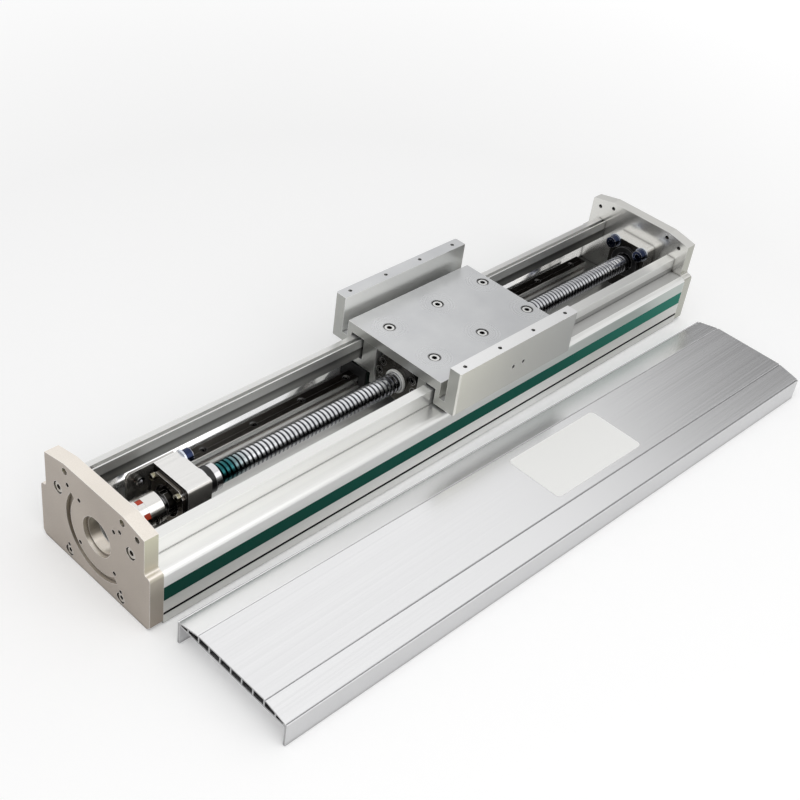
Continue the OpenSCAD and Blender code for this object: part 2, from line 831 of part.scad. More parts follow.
module tail_bearing_block() {
    color(steel) difference() {
        along_x(tail_x0, tail_block_t) pillow_section();
        rod(tail_x0 - eps, tail_bearing_x1 - tail_x0 + eps, axis_y, axis_z, bearing_od / 2 + seat_fit);
        rod(tail_x0, tail_block_t + through, axis_y, axis_z, shoulder_hole_r);
        tail_block_places() rod(-through, tail_block_t + 2 * through, 0, 0, bolt_d / 2 + screw_fit);
    }
}
module tail_block_bolts() {
    color(zinc) tail_block_places() face_x([-washer_t, 0, 0], -1) cap_screw(bolt_d, tail_bolt_len);
}
module tail_block_washers() {
    color(zinc) tail_block_places() ring(-washer_t, washer_t, 0, 0, bolt_d / 2 + screw_fit, washer_r);
}
module tail_bearing_outer_ring() { color(steel) outer_race(tail_bearing_x0); }
module tail_bearing_balls() { color(steel) bearing_balls(tail_bearing_x0); }
module tail_bearing_inner_ring() { color(steel) inner_race(tail_bearing_x0); }
module tail_bearing_cap() {
    color(dark) ring(tail_x0 - cap_out, cap_out + tail_lip, axis_y, axis_z, cap_in_r, bearing_od / 2);
}
module retaining_ring() {
    color(dark) difference() {
        ring(clip_x0, clip_t, axis_y, axis_z, journal_r - clip_depth + seat_fit,
             journal_r - clip_depth + clip_w);
        translate([tail_bearing_x1, axis_y - journal_r / 2, axis_z])
            cube([2 * clip_t + ring_gap, journal_r, bearing_od]);
    }
}

// ---------------------------------------------------------------- rails

module rail_half() {
    side = rail_w / 2;
    waist = side - rail_waist;
    z = rail_h * waist_zs;
    polygon([[-lap, 0], [side, 0], [side, z[0]], [waist, z[1]], [waist, z[2]], [side, z[3]],
             [side, rail_h - rail_edge], [side - rail_edge, rail_h], [-lap, rail_h]]);
}
module rail(side) {
    color(steel) translate([0, side * rail_y, 0]) difference() {
        translate([0, 0, floor_t]) along_x(rail_x0, rail_len) both_sides() rail_half();
        rail_places() {
            cylinder(h = rail_top, r = rail_d / 2 + screw_fit);
            translate([0, 0, rail_top - rail_head_depth])
                cylinder(h = rail_head_depth + eps, r = rail_head_d / 2);
        }
    }
}
module rail_screws(side) {
    color(dark) translate([0, side * rail_y, rail_top - rail_head_depth]) rail_places()
        cap_screw(rail_d, rail_screw_len);
}
module rail_near() { rail(-1); }
module rail_far() { rail(1); }
module rail_screws_near() { rail_screws(-1); }
module rail_screws_far() { rail_screws(1); }

// ---------------------------------------------------------------- screw

// Ball grooves as [radius, x] points, one crest and one groove per lead
function groove_points() = [for (i = [0 : thread_count - 1]) let (x = thread_x0 + i * lead)
    each [[screw_r, x], [screw_r, x + crest_w], [thread_core, x + crest_w + (lead - crest_w) / 2]]];

// Outline of the screw as [radius, x], from the coupling to the tail
function screw_outline() = let (
        seat_r = journal_r - collar_seat,
        collar_r = screw_r - collar_seat,
        start = spider_x1 + shaft_gap,
        step = drive_x0 - nut_len - nut_relief,
        collar_x1 = collar_x0 + collar_len,
        end = x1 - tail_end_gap
    ) concat(
        [[0, start], [shaft_end_r, start], [shaft_end_r, step], [seat_r, step], [seat_r, bearing_x0],
         [journal_r, bearing_x0], [journal_r, bearing_x1], [screw_r, bearing_x1], [screw_r, collar_x0],
         [collar_r, collar_x0], [collar_r, collar_x1], [screw_r, collar_x1]],
        groove_points(),
        [[screw_r, thread_x0 + thread_count * lead], [screw_r, thread_x1], [neck_r, thread_x1],
         [neck_r, tail_bearing_x0], [journal_r, tail_bearing_x0], [journal_r, clip_x0],
         [journal_r - clip_depth, clip_x0], [journal_r - clip_depth, clip_x0 + clip_t],
         [journal_r, clip_x0 + clip_t], [journal_r, end], [0, end]]);

module ball_screw() {
    color(steel) translate([0, axis_y, axis_z]) rotate([0, 90, 0])
        rotate_extrude() polygon(screw_outline());
}

module screw_collar() {
    bore = screw_r - collar_seat + seat_fit;
    groove_end = groove_at + groove_len;
    color(steel) translate([collar_x0, axis_y, axis_z]) rotate([0, 90, 0]) rotate_extrude()
        polygon([[bore, 0], [collar_r, 0], [collar_r, groove_at], [groove_r, groove_at],
                 [groove_r, groove_end], [ring2_r, groove_end], [ring2_r, collar_len],
                 [bore, collar_len]]);
}
module stop_ring() {
    color(dark) ring(groove_x0 + eps, groove_len - 2 * eps, axis_y, axis_z, groove_r + seat_fit,
         ring2_r - 2 * strip_fit);
}
module lock_nut() {
    color(dark) difference() {
        ring(bearing_x0 - nut_len, nut_len, axis_y, axis_z, journal_r - collar_seat + seat_fit, nut_r);
        for (i = [0 : 3]) translate([0, axis_y, axis_z]) rotate([i * 90, 0, 0])
            block([bearing_x0 - nut_len - through, -nut_slot / 2, nut_r - nut_slot_depth],
                  [bearing_x0 - nut_len / 2, nut_slot / 2, nut_r + through]);
    }
}

// Jaw of a coupling hub: a ring sector centred on the angle
module sector(width, r_in, r_out) {
    difference() {
        intersection() {
            circle(r = r_out);
            wedge(-width / 2, width / 2, 2 * r_out, 4);
        }
        circle(r = r_in);
    }
}

// Hub of the coupling: body at 0..hub_len, jaws reach to hub_len + spider_gap
module coupling_hub(bore_r) {
    difference() {
        union() {
            rod(0, hub_len, 0, 0, coupling_r);
            for (i = [0 : 2]) rotate([i * 120, 0, 0])
                along_x(hub_len - jaw_root, jaw_root + spider_gap - jaw_gap)
                    sector(jaw_angle, jaw_in + jaw_gap, coupling_r - jaw_gap);
        }
        rod(-through, hub_len + 2 * through, 0, 0, bore_r);
        clamp_pose() {
            translate([-hub_len, -coupling_r - through, -slit_w / 2])
                cube([2 * hub_len, coupling_r + through, slit_w]);
            translate([0, -clamp_off, clamp_head])
                cylinder(h = coupling_r, r = head_r(clamp_d) + strip_fit);
            translate([0, -clamp_off, -2 * clamp_head])
                cylinder(h = coupling_r, r = clamp_d / 2 + screw_fit);
        }
    }
}
module clamp_pose() {
    translate([hub_len / 2, 0, 0]) rotate([clamp_turn, 0, 0]) children();
}
module clamp_screw() {
    clamp_pose() translate([0, -clamp_off, clamp_head]) cap_screw(clamp_d, clamp_len);
}
// Frames of the two hubs, each with its jaws pointing at the spider
module screw_hub_pose() {
    translate([hub_screw_x1, axis_y, axis_z]) mirror([1, 0, 0]) children();
}
module motor_hub_pose() {
    translate([hub_motor_x0, axis_y, axis_z]) rotate([60, 0, 0]) children();
}
module coupling_hub_screw() { color(aluminium) screw_hub_pose() coupling_hub(shaft_end_r + seat_fit); }
module coupling_hub_motor() { color(aluminium) motor_hub_pose() coupling_hub(motor_shaft_d / 2); }
module coupling_clamp_screws() {
    color(dark) {
        screw_hub_pose() clamp_screw();
        motor_hub_pose() clamp_screw();
    }
}
module coupling_spider() {
    color(red) translate([0, axis_y, axis_z]) along_x(spider_x0, spider_gap) difference() {
        union() {
            circle(r = jaw_in);
            for (i = [0 : 5]) rotate(30 + i * 60)
                sector(arm_angle, arm_root, coupling_r - 2 * jaw_gap);
        }
        circle(r = spider_bore_r);
    }
}

// ---------------------------------------------------------------- carriage

module table_half() {
    difference() {
        polygon([[-lap, table_under], [leg_in, table_under], [leg_in, table_low_z],
                 [table_w / 2 - low_bevel, table_low_z], [table_w / 2, table_low_z + low_bevel],
                 [table_w / 2, upright_z], [upright_in, upright_z], [upright_in, table_z],
                 [-lap, table_z]]);
        difference() {
            translate([slot_in, slot_z]) square([slot_w, table_z]);
            square([leg_in + slot_web, table_under + slot_web]);
        }
    }
}

module table_screw_places() {
    for (i = [-1 : 1], j = [-1, 1])
        translate([carriage_x + table_offset + i * table_pitch, j * table_rows / 2,
            table_z - table_head_depth]) children();
}

module carriage_table() {
    half = table_w / 2;
    color(aluminium) difference() {
        intersection() {
            along_x(table_x0, table_len) both_sides() table_half();
            translate([0, 0, table_low_z]) linear_extrude(height = upright_z - table_low_z)
                polygon([[table_x0, end_bevel - half], [table_x0 + end_bevel, -half],
                         [table_x1 - end_bevel, -half], [table_x1, end_bevel - half],
                         [table_x1, half - end_bevel], [table_x1 - end_bevel, half],
                         [table_x0 + end_bevel, half], [table_x0, half - end_bevel]]);
        }
        table_screw_places() {
            cylinder(h = table_head_depth + eps, r = head_r(table_d) + head_gap);
            translate([0, 0, -table_z]) cylinder(h = 2 * table_z, r = table_d / 2 + screw_fit);
        }
        for (i = [-1.5 : 1.5], j = [-1, 1])
            translate([carriage_x + i * upright_pitch, j * upright_rows / 2,
                       upright_z - upright_tap_depth])
                cylinder(h = upright_tap_depth + eps, r = upright_tap_r);
        for (x = port_xs) translate([carriage_x + x, port_depth_y - half, port_z])
            rotate([90, 0, 0]) cylinder(h = port_depth_y + through, r = port_r);
    }
}
module table_screws() {
    color(steel) table_screw_places() cap_screw(table_d, table_screw_len);
}

// Places children at the four screws of each rail block, at the height z
module block_screw_places(z) {
    for (x = block_xs, s = [-1, 1], i = [-1, 1], j = [-1, 1])
        translate([x + i * block_hole_x / 2, s * rail_y + j * block_hole_y / 2, z]) children();
}

module saddle_half() {
    polygon([[-lap, keel_z], [keel_y, keel_z], [keel_y, block_z1], [wing_y, block_z1],
             [wing_y, wing_z1], [neck_y, wing_z1], [neck_y, table_under], [-lap, table_under]]);
}
module saddle() {
    color(aluminium) difference() {
        along_x(saddle_x0, saddle_x1 - saddle_x0) both_sides() saddle_half();
        rod(saddle_x0, saddle_x1 - saddle_x0 + through, axis_y, axis_z, nut_d / 2 + screw_fit);
        rod(saddle_x0 - through, flange_x1 - saddle_x0 + through, axis_y, axis_z,
            flange_d / 2 + pocket_gap);
        block([saddle_x0 - through, axis_y - flange_d / 2 - pocket_gap, axis_z],
              [flange_x1, axis_y + flange_d / 2 + pocket_gap, table_under + through]);
        block_screw_places(block_z1 - through) cylinder(h = wing_t, r = rail_d / 2 + screw_fit);
        block_screw_places(wing_z1 - head_room)
            cylinder(h = table_z, r = head_r(rail_d) + 2 * strip_fit);
        table_screw_places() translate([0, 0, -table_screw_len - through])
            cylinder(h = table_z, r = table_d / 2 + screw_fit);
        flange_screw_places() rod(flange_t / 2, flange_screw_len, 0, 0, flange_screw_d / 2 + screw_fit);
    }
}

// Places children at the flange screws, on the flange's seat for their heads
module flange_screw_places() {
    for (a = flange_angles)
        translate([flange_x0 + flange_t / 2, axis_y + flange_pcd / 2 * cos(a),
            axis_z + flange_pcd / 2 * sin(a)]) children();
}

module ball_nut() {
    color(steel) difference() {
        union() {
            rod(flange_x0, flange_t + nut_body_len, axis_y, axis_z, nut_d / 2);
            intersection() {
                rod(flange_x0, flange_t, axis_y, axis_z, flange_d / 2);
                block([flange_x0, axis_y - flange_d, axis_z - flange_flat / 2],
                      [flange_x1, axis_y + flange_d, axis_z + flange_flat / 2]);
            }
        }
        rod(flange_x0 - through, flange_t + nut_body_len + 2 * through, axis_y, axis_z,
            screw_r + nut_fit);
        flange_screw_places() {
            rod(-through, flange_t, 0, 0, flange_screw_d / 2 + screw_fit);
            rod(-flange_t, flange_t, 0, 0, head_r(flange_screw_d) + strip_fit);
        }
    }
}
module nut_flange_screws() {
    color(dark) flange_screw_places() face_x([0, 0, 0], -1) cap_screw(flange_screw_d, flange_screw_len);
}
module nut_wipers() {
    color("white") for (x = [flange_x0 - wiper_w, flange_x1 + nut_body_len])
        ring(x, wiper_w, axis_y, axis_z, screw_r + wiper_in, wiper_r);
}

// Section of a rail block or of its caps, cut to pass over the rail with a gap
module block_section(inset, gap) {
    half = block_w / 2 - inset;
    difference() {
        translate([-half, block_z0 + inset]) square([2 * half, block_z1 - block_z0 - 2 * inset]);
        translate([-rail_w / 2 - gap, 0]) square([rail_w + 2 * gap, rail_top + gap]);
    }
}
module rail_block(x, side) {
    color(steel) difference() {
        translate([0, side * rail_y, 0]) along_x(x - block_body_len / 2, block_body_len)
            block_section(0, rail_fit);
        block_screw_places(block_z1 - block_screw_len) cylinder(h = block_screw_len + eps,
            r = rail_d / 2 + screw_fit);
    }
}
module rail_block_near_drive() { rail_block(block_xs[0], -1); }
module rail_block_near_tail() { rail_block(block_xs[1], -1); }
module rail_block_far_drive() { rail_block(block_xs[0], 1); }
module rail_block_far_tail() { rail_block(block_xs[1], 1); }

// Places children at both ends of every rail block, with +X pointing away from it
module block_ends() {
    for (x = block_xs, s = [-1, 1]) translate([x, s * rail_y, 0]) {
        translate([block_body_len / 2, 0, 0]) children();
        mirror([1, 0, 0]) translate([block_body_len / 2, 0, 0]) children();
    }
}
module rail_block_end_caps() {
    color(green) block_ends() along_x(0, cap_len) block_section(cap_inset, rail_fit);
}
module rail_block_seals() {
    color(dark) block_ends() along_x(cap_len, seal_t) block_section(2 * cap_inset, strip_fit);
}
module rail_block_screws() {
    color(dark) block_screw_places(wing_z1 - head_room)
        cap_screw(rail_d, wing_t - head_room + block_screw_len - through);
}

// ---------------------------------------------------------------- cover

function slope_z(y) = cover_h - (y - flat_hw) / (cover_hw - flat_hw) * cover_drop;

// Hollow cell under the sloping edge, between two distances from the middle
module slope_cell(from, to) {
    polygon([[from, plate_z0 + cover_skin], [to, plate_z0 + cover_skin],
             [to, slope_z(to) - cover_skin], [from, slope_z(from) - cover_skin]]);
}
module cover_half() {
    difference() {
        polygon([[-lap, plate_z0], [cover_hw - skirt_t, plate_z0], [cover_hw - skirt_t, 0], [cover_hw, 0],
                 [cover_hw, cover_edge_z], [flat_hw, cover_h], [-lap, cover_h]]);
        slope_cell(flat_hw + cover_skin / 2, flat_hw + cell_pitch - cover_skin / 2);
        slope_cell(flat_hw + cell_pitch + cover_skin / 2, cover_hw - skirt_t - cover_skin);
        for (y = line_ys)
            polygon([[y - line_w / 2, slope_z(y - line_w / 2) + eps], [y, slope_z(y) - line_depth],
                     [y + line_w / 2, slope_z(y + line_w / 2) + eps]]);
    }
}
module cover_pose() {
    translate([cover_x, cover_y, 0]) rotate([0, 0, cover_turn]) children();
}
module top_cover() {
    color(aluminium) cover_pose() along_x(-cover_len / 2, cover_len) difference() {
        both_sides() cover_half();
        for (i = [0 : cover_cells - 1])
            translate([i * cell_pitch - flat_hw + cover_skin / 2, plate_z0 + cover_skin])
                square([cell_pitch - cover_skin, cover_plate - 2 * cover_skin]);
    }
}
module cover_label() {
    color("white") cover_pose() translate([label_x, 0, cover_h]) linear_extrude(height = label_t) {
        square([label_len - 2 * label_r, label_w], center = true);
        square([label_len, label_w - 2 * label_r], center = true);
        for (i = [-1, 1], j = [-1, 1])
            translate([i * (label_len / 2 - label_r), j * (label_w / 2 - label_r)])
                circle(r = label_r);
    }
}

// ---------------------------------------------------------------- assembly

base_extrusion();
side_strip_near();
side_strip_far();
drive_end_plate();
tail_end_plate();
drive_plate_screws();
tail_plate_screws();
drive_bearing_block();
drive_block_base_screws();
bearing_retainer();
retainer_screws();
drive_bearing_outer_rings();
drive_bearing_balls();
drive_bearing_inner_rings();
drive_block_bolt();
drive_block_washer();
coupling_stay();
stay_screws();
tail_bearing_block();
tail_block_bolts();
tail_block_washers();
tail_bearing_outer_ring();
tail_bearing_balls();
tail_bearing_inner_ring();
tail_bearing_cap();
retaining_ring();
rail_near();
rail_far();
rail_screws_near();
rail_screws_far();
ball_screw();
screw_collar();
stop_ring();
lock_nut();
coupling_hub_screw();
coupling_spider();
coupling_hub_motor();
coupling_clamp_screws();
carriage_table();
table_screws();
saddle();
ball_nut();
nut_flange_screws();
nut_wipers();
rail_block_near_drive();
rail_block_near_tail();
rail_block_far_drive();
rail_block_far_tail();
rail_block_end_caps();
rail_block_seals();
rail_block_screws();
top_cover();
cover_label();
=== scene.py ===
"""Visual model of a ball screw linear module, with its cover lifted off and laid beside it."""

import json
import math

import bmesh
import bpy
from mathutils import Matrix, Vector


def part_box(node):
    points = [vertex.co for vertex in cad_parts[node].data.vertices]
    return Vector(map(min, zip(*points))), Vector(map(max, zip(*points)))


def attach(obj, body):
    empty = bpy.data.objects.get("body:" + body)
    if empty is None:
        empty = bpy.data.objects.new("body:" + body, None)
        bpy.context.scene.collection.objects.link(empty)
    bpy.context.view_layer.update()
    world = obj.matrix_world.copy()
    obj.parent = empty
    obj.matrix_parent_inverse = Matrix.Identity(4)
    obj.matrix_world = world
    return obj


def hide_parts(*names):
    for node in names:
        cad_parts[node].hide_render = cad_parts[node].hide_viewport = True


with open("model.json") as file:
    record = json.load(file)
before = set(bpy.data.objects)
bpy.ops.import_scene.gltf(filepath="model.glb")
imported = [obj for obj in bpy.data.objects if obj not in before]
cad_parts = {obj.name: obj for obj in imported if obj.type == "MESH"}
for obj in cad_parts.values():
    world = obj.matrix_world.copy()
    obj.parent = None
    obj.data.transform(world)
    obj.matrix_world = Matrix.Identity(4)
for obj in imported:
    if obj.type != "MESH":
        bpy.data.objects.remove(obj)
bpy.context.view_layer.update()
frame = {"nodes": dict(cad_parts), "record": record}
NODES = frame["nodes"]
JOINTS = {joint["name"]: joint for joint in frame["record"]["behaviour"]["joints"]}

MM = 0.001
ENDLESS = 1000  # mm, past the end of everything
WHITE = "#FFFFFF"


def colour(hex_code):
    """sRGB hex code to a linear RGBA tuple."""
    parts = [int(hex_code[i : i + 2], 16) / 255 for i in (1, 3, 5)]
    return tuple(c / 12.92 if c <= 0.04045 else ((c + 0.055) / 1.055) ** 2.4 for c in parts) + (1.0,)


def add(tree, kind, inputs=None, stops=(), **settings):
    """Adds a node with its settings, its links or values, and a ramp's stops. Returns its outputs.

    A Map Range node's inputs 0 to 4 are its value, the two ends that it comes from and the two it goes to.
    """
    node = tree.nodes.new("ShaderNode" + kind)
    for name, value in settings.items():
        setattr(node, name, value)
    for name, value in (inputs or {}).items():
        if isinstance(value, bpy.types.NodeSocket):
            tree.links.new(value, node.inputs[name])
        else:
            node.inputs[name].default_value = value
    for i, (at, hex_code) in enumerate(stops):
        points = node.color_ramp.elements
        point = points[i] if i < len(points) else points.new(at)
        point.position, point.color = at, colour(hex_code)
    return node.outputs


# ---------------------------------------------------------------- places on the solids, in mm


def corners(name):
    """Low and high corner of a node's box."""
    return [[value / MM for value in corner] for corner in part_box(name)]


def along(name):
    """Where a node starts and ends along X, from the motor end to the tail end."""
    low, high = corners(name)
    return low[0], high[0]


def heights(name):
    """Where a node starts and ends along Z."""
    low, high = corners(name)
    return low[2], high[2]


BASE_START = along("base_extrusion")[0]
HALF_WIDTH, WALL_TOP = corners("base_extrusion")[1][1:]
STRIP_LOW, STRIP_TOP = heights("side_strip_near")
CHANNEL_FLOOR, RAIL_TOP = heights("rail_near")
TABLE_START, TABLE_END = along("carriage_table")
TABLE_TOP = heights("carriage_table")[1]

# Bands across the base, from its middle plane (Y) or its underside (Z), each with a little to spare
OUTER_FACE_Y = (HALF_WIDTH - 1, HALF_WIDTH + 1)
BELOW_STRIP_Z = (-1, STRIP_LOW)
ABOVE_STRIP_Z = (STRIP_TOP, 56)
SIDE_GROOVE_Y, SIDE_GROOVE_Z = (69, 74.5), (10.2, 13.6)
SHOULDER_Z = (55, 61)
CROWN_Y, CROWN_Z = (44, 56), (WALL_TOP - 0.5, WALL_TOP + 0.5)
UPPER_WALL_Y, UPPER_WALL_LOW = (43, 44.3), 55
CAVITY_Y, CAVITY_Z = (42, 68), (CHANNEL_FLOOR + 0.2, 55.5)
CHANNEL_Y, CHANNEL_Z = (0, 68), (CHANNEL_FLOOR - 1, 66)
WALL_FOOT_Y, WALL_FOOT_FADE = (66.5, 69), (38, 32)

# Ball screw, on the axis that it turns round
AXIS_Y, AXIS_Z = (value / MM for value in JOINTS["screw_spin"]["pos_m"][1:])
LEAD = 5
THREAD_START = along("screw_collar")[1] + 2
THREAD_END = along("tail_bearing_block")[0] - 10
SCREW_RADIUS, JOURNAL_RADIUS, SHAFT_RADIUS = 10, 7.5, 6
CREST, GROOVE_DEPTH = 2.7, 1.6

# Table screws, in two rows of three
TABLE_HEAD_RADIUS = 5
TABLE_HEAD_Z = heights("table_screws")


# ---------------------------------------------------------------- camera

LENS, SENSOR = 60.03, 36
CAMERA_RANGE = (0.05, 40)
# It stands off the motor end's near corner, in metres, and is rolled a little.
CAMERA_PLACE = (-0.8384, -0.6703, 0.83905)
CAMERA_RIGHT = Vector((0.69530, -0.70875, 0.11928))
CAMERA_UP = Vector((0.37346, 0.49808, 0.78258))


def make_camera():
    """Looks down on the motor end and the near side."""
    data = bpy.data.cameras.new("camera")
    data.sensor_width = SENSOR
    data.lens = LENS
    data.clip_start, data.clip_end = CAMERA_RANGE
    cam = bpy.data.objects.new("camera", data)
    turned = Matrix((CAMERA_RIGHT, CAMERA_UP, CAMERA_RIGHT.cross(CAMERA_UP))).transposed()
    cam.matrix_world = Matrix.Translation(CAMERA_PLACE) @ turned.to_4x4()
    bpy.context.scene.collection.objects.link(cam)
    bpy.context.scene.camera = cam


# ---------------------------------------------------------------- masks, tints, painted shade and highlights


def start(name, base, metallic, roughness):
    """A material with one Principled shader. Returns it, its tree, the shader and object coordinates."""
    mat = bpy.data.materials.new(name)
    mat.use_nodes = True
    tree = mat.node_tree
    shader = tree.nodes["Principled BSDF"]
    shader.inputs["Base Color"].default_value = colour(base)
    shader.inputs["Metallic"].default_value = metallic
    shader.inputs["Roughness"].default_value = roughness
    return mat, tree, shader, add(tree, "TexCoord")["Object"]


def grain(tree, place, size_mm, detail=2.0):
    """Random pattern whose grains are about size_mm across, along X, Y and Z."""
    scale = tuple(1 / (size * MM) for size in size_mm)
    scaled = add(tree, "VectorMath", {0: place, 1: scale}, operation="MULTIPLY")[0]
    return add(tree, "TexNoise", {"Vector": scaled, "Scale": 1.0, "Detail": detail})["Fac"]


def where(tree, *masks):
    """1 where all of the masks are 1: their product."""
    product = masks[0]
    for mask in masks[1:]:
        product = add(tree, "Math", {0: product, 1: mask}, operation="MULTIPLY")[0]
    return product


def within(tree, value, low, high):
    """Mask of 1 where value lies between low and high, in mm."""
    above = add(tree, "Math", {0: value, 1: low * MM}, operation="GREATER_THAN")[0]
    below = add(tree, "Math", {0: value, 1: high * MM}, operation="LESS_THAN")[0]
    return where(tree, above, below)


def facing(tree, axis, sign):
    """Mask of faces that look along an axis (0, 1, 2) with this sign, fading over round edges."""
    normal = add(tree, "SeparateXYZ", {0: add(tree, "NewGeometry")["Normal"]})[axis]
    toward = add(tree, "Math", {0: normal, 1: sign}, operation="MULTIPLY")[0]
    return add(tree, "MapRange", {0: toward, 1: 0.55, 2: 0.8})[0]


def paint(tree, tint, mask, over, blend="MIX"):
    """Tint, with another (a hex code or a socket) laid over it where the mask is 1."""
    tint, over = (colour(value) if isinstance(value, str) else value for value in (tint, over))
    # 0, 6 and 7 are the node's factor and its two colours.
    return add(tree, "Mix", {0: mask, 6: tint, 7: over}, data_type="RGBA", blend_type=blend)[2]


def shade(tree, tint, mask, grey):
    """Tint, darkened by a grey where the mask is 1."""
    return paint(tree, tint, mask, grey, "MULTIPLY")


def paint_shade_and_highlights(tree, shader, tint, hollow, reach_mm, rim):
    """Gives the shader its tint, with painted shade in holes and corners and painted highlights along the
    edges.
    """
    rim_mm, rays = 0.7, 6
    # Painted shade: darker where ambient occlusion finds the surface closed in.
    open_to = add(tree, "AmbientOcclusion", {"Distance": reach_mm * MM}, samples=rays)["AO"]
    tint = shade(tree, tint, add(tree, "MapRange", {0: open_to, 1: 0.75, 2: 0.25})[0], hollow)
    # Painted highlight: lighter along convex edges.
    backed = add(tree, "AmbientOcclusion", {"Distance": rim_mm * MM}, samples=rays, inside=True)["AO"]
    edge = add(tree, "MapRange", {0: backed, 1: 0.8, 2: 0.5, 4: rim})[0]
    tree.links.new(paint(tree, tint, edge, WHITE), shader.inputs["Base Color"])


# ---------------------------------------------------------------- finishes


def tone_outer_faces(tree, tint, x, y, z, side):
    """Painted shade on the outer faces: greenish above the strip toward the tail end, grey below it at both
    ends, light on the far wall's top, and dark in the side groove.
    """
    outer = within(tree, side, *OUTER_FACE_Y)
    # Painted shade, slightly green, above the strip toward the tail end.
    toward_tail = add(tree, "MapRange", {0: x, 1: 0.0, 2: 250 * MM})[0]
    lip_shade = where(tree, outer, within(tree, z, *ABOVE_STRIP_Z), toward_tail)
    tint = shade(tree, tint, lip_shade, "#C2CAC7")
    # Painted shade below the strip at both ends.
    drive_part = add(tree, "MapRange", {0: x, 1: 0.0, 2: -360 * MM})[0]
    tail_part = add(tree, "MapRange", {0: x, 1: 100 * MM, 2: 200 * MM, 4: 0.8})[0]
    ends = add(tree, "Math", {0: drive_part, 1: tail_part}, operation="MAXIMUM")[0]
    tint = shade(tree, tint, where(tree, outer, within(tree, z, *BELOW_STRIP_Z), ends), "#D2D2D0")
    # Painted shade on the far wall's top.
    crown = where(tree, within(tree, y, *CROWN_Y), within(tree, z, *CROWN_Z))
    tint = shade(tree, tint, crown, "#F0F0F0")
    # Painted shade: the side groove is dark.
    groove = where(tree, within(tree, side, *SIDE_GROOVE_Y), within(tree, z, *SIDE_GROOVE_Z))
    return paint(tree, tint, groove, "#3A3A3A")


def tone_channel(tree, tint, x, y, z, side):
    """Painted light and shade in the channel: upper walls light at the top and darker below, painted shade on
    the near wall and a dark near cavity, and all darker toward the tail end.
    """
    # Painted shade on the upper walls' inner faces, darkest just below a light band at the top.
    up_wall = add(tree, "MapRange", {0: z, 1: UPPER_WALL_LOW * MM, 2: WALL_TOP * MM})[0]
    stops = ((0.0, "#B4B4B2"), (0.2, "#B8B8B6"), (0.5, "#6E6E6C"), (0.56, "#F0F0EE"))
    wall = within(tree, side, *UPPER_WALL_Y)
    tint = paint(tree, tint, wall, add(tree, "ValToRGB", {0: up_wall}, stops)[0])
    # Painted shade on the near wall's inner face.
    near = within(tree, y, -ENDLESS, 0)
    tint = shade(tree, tint, where(tree, wall, near), "#C0C0C0")
    # Painted shade: the near cavity is dark.
    cavity = where(tree, near, within(tree, side, *CAVITY_Y), within(tree, z, *CAVITY_Z))
    tint = shade(tree, tint, cavity, "#484848")
    # Painted shade over the channel toward the tail end.
    channel = where(tree, within(tree, side, *CHANNEL_Y), within(tree, z, *CHANNEL_Z))
    toward_tail = add(tree, "MapRange", {0: x, 1: 80 * MM, 2: 160 * MM})[0]
    return shade(tree, tint, where(tree, channel, toward_tail), "#C4C4C4")


def tilt_and_light_wall_foot(tree, shader, tint, y, z):
    """The far wall's foot beside the rail gets a shading normal tilted half up, as if it curved into the
    floor, a smoother gloss, and painted light: white.
    """
    (top, low), tilt = WALL_FOOT_FADE, 0.9
    height = add(tree, "MapRange", {0: z, 1: top * MM, 2: low * MM})[0]
    above_floor = within(tree, z, CAVITY_Z[0], ENDLESS)
    foot = where(tree, within(tree, y, *WALL_FOOT_Y), height, above_floor, facing(tree, 1, -1))
    lift = add(tree, "Math", {0: foot, 1: tilt}, operation="MULTIPLY")[0]
    lift = add(tree, "CombineXYZ", {2: lift})[0]
    normal = add(tree, "VectorMath", {0: add(tree, "NewGeometry")["Normal"], 1: lift}, operation="ADD")[0]
    normal = add(tree, "VectorMath", {0: normal}, operation="NORMALIZE")[0]
    tree.links.new(normal, shader.inputs["Normal"])
    tree.links.new(add(tree, "MapRange", {0: foot, 3: 0.28, 4: 0.1})[0], shader.inputs["Roughness"])
    # Painted light: the foot is white.
    return paint(tree, tint, foot, WHITE)


def drawn_aluminium():
    """Extruded and anodised aluminium: satin, with faint die lines along it."""
    mat, tree, shader, place = start("drawn anodised aluminium", "#E6E6E4", 0.85, 0.28)
    x, y, z = add(tree, "SeparateXYZ", {0: place})
    side = add(tree, "Math", {0: y}, operation="ABSOLUTE")[0]
    # Real die lines are finer; drawn 2.5 mm wide so that they show.
    lines = grain(tree, place, (1500, 2.5, 2.5))
    tint = add(tree, "ValToRGB", {0: lines}, ((0.3, "#E9E9E7"), (0.7, "#EDEDEB")))[0]
    tint = tone_outer_faces(tree, tint, x, y, z, side)
    tint = tone_channel(tree, tint, x, y, z, side)
    tint = tilt_and_light_wall_foot(tree, shader, tint, y, z)
    # The shoulders' tops are milkier toward the tail end.
    toward_tail = add(tree, "MapRange", {0: x, 1: 50 * MM, 2: 200 * MM})[0]
    shoulder = where(tree, within(tree, z, *SHOULDER_Z), facing(tree, 2, 1), toward_tail)
    tree.links.new(add(tree, "MapRange", {0: shoulder, 3: 0.85, 4: 0.35})[0], shader.inputs["Metallic"])
    # Painted shade in holes and corners, painted highlights on edges.
    paint_shade_and_highlights(tree, shader, tint, hollow="#5A5A58", reach_mm=3.5, rim=0.3)
    return mat


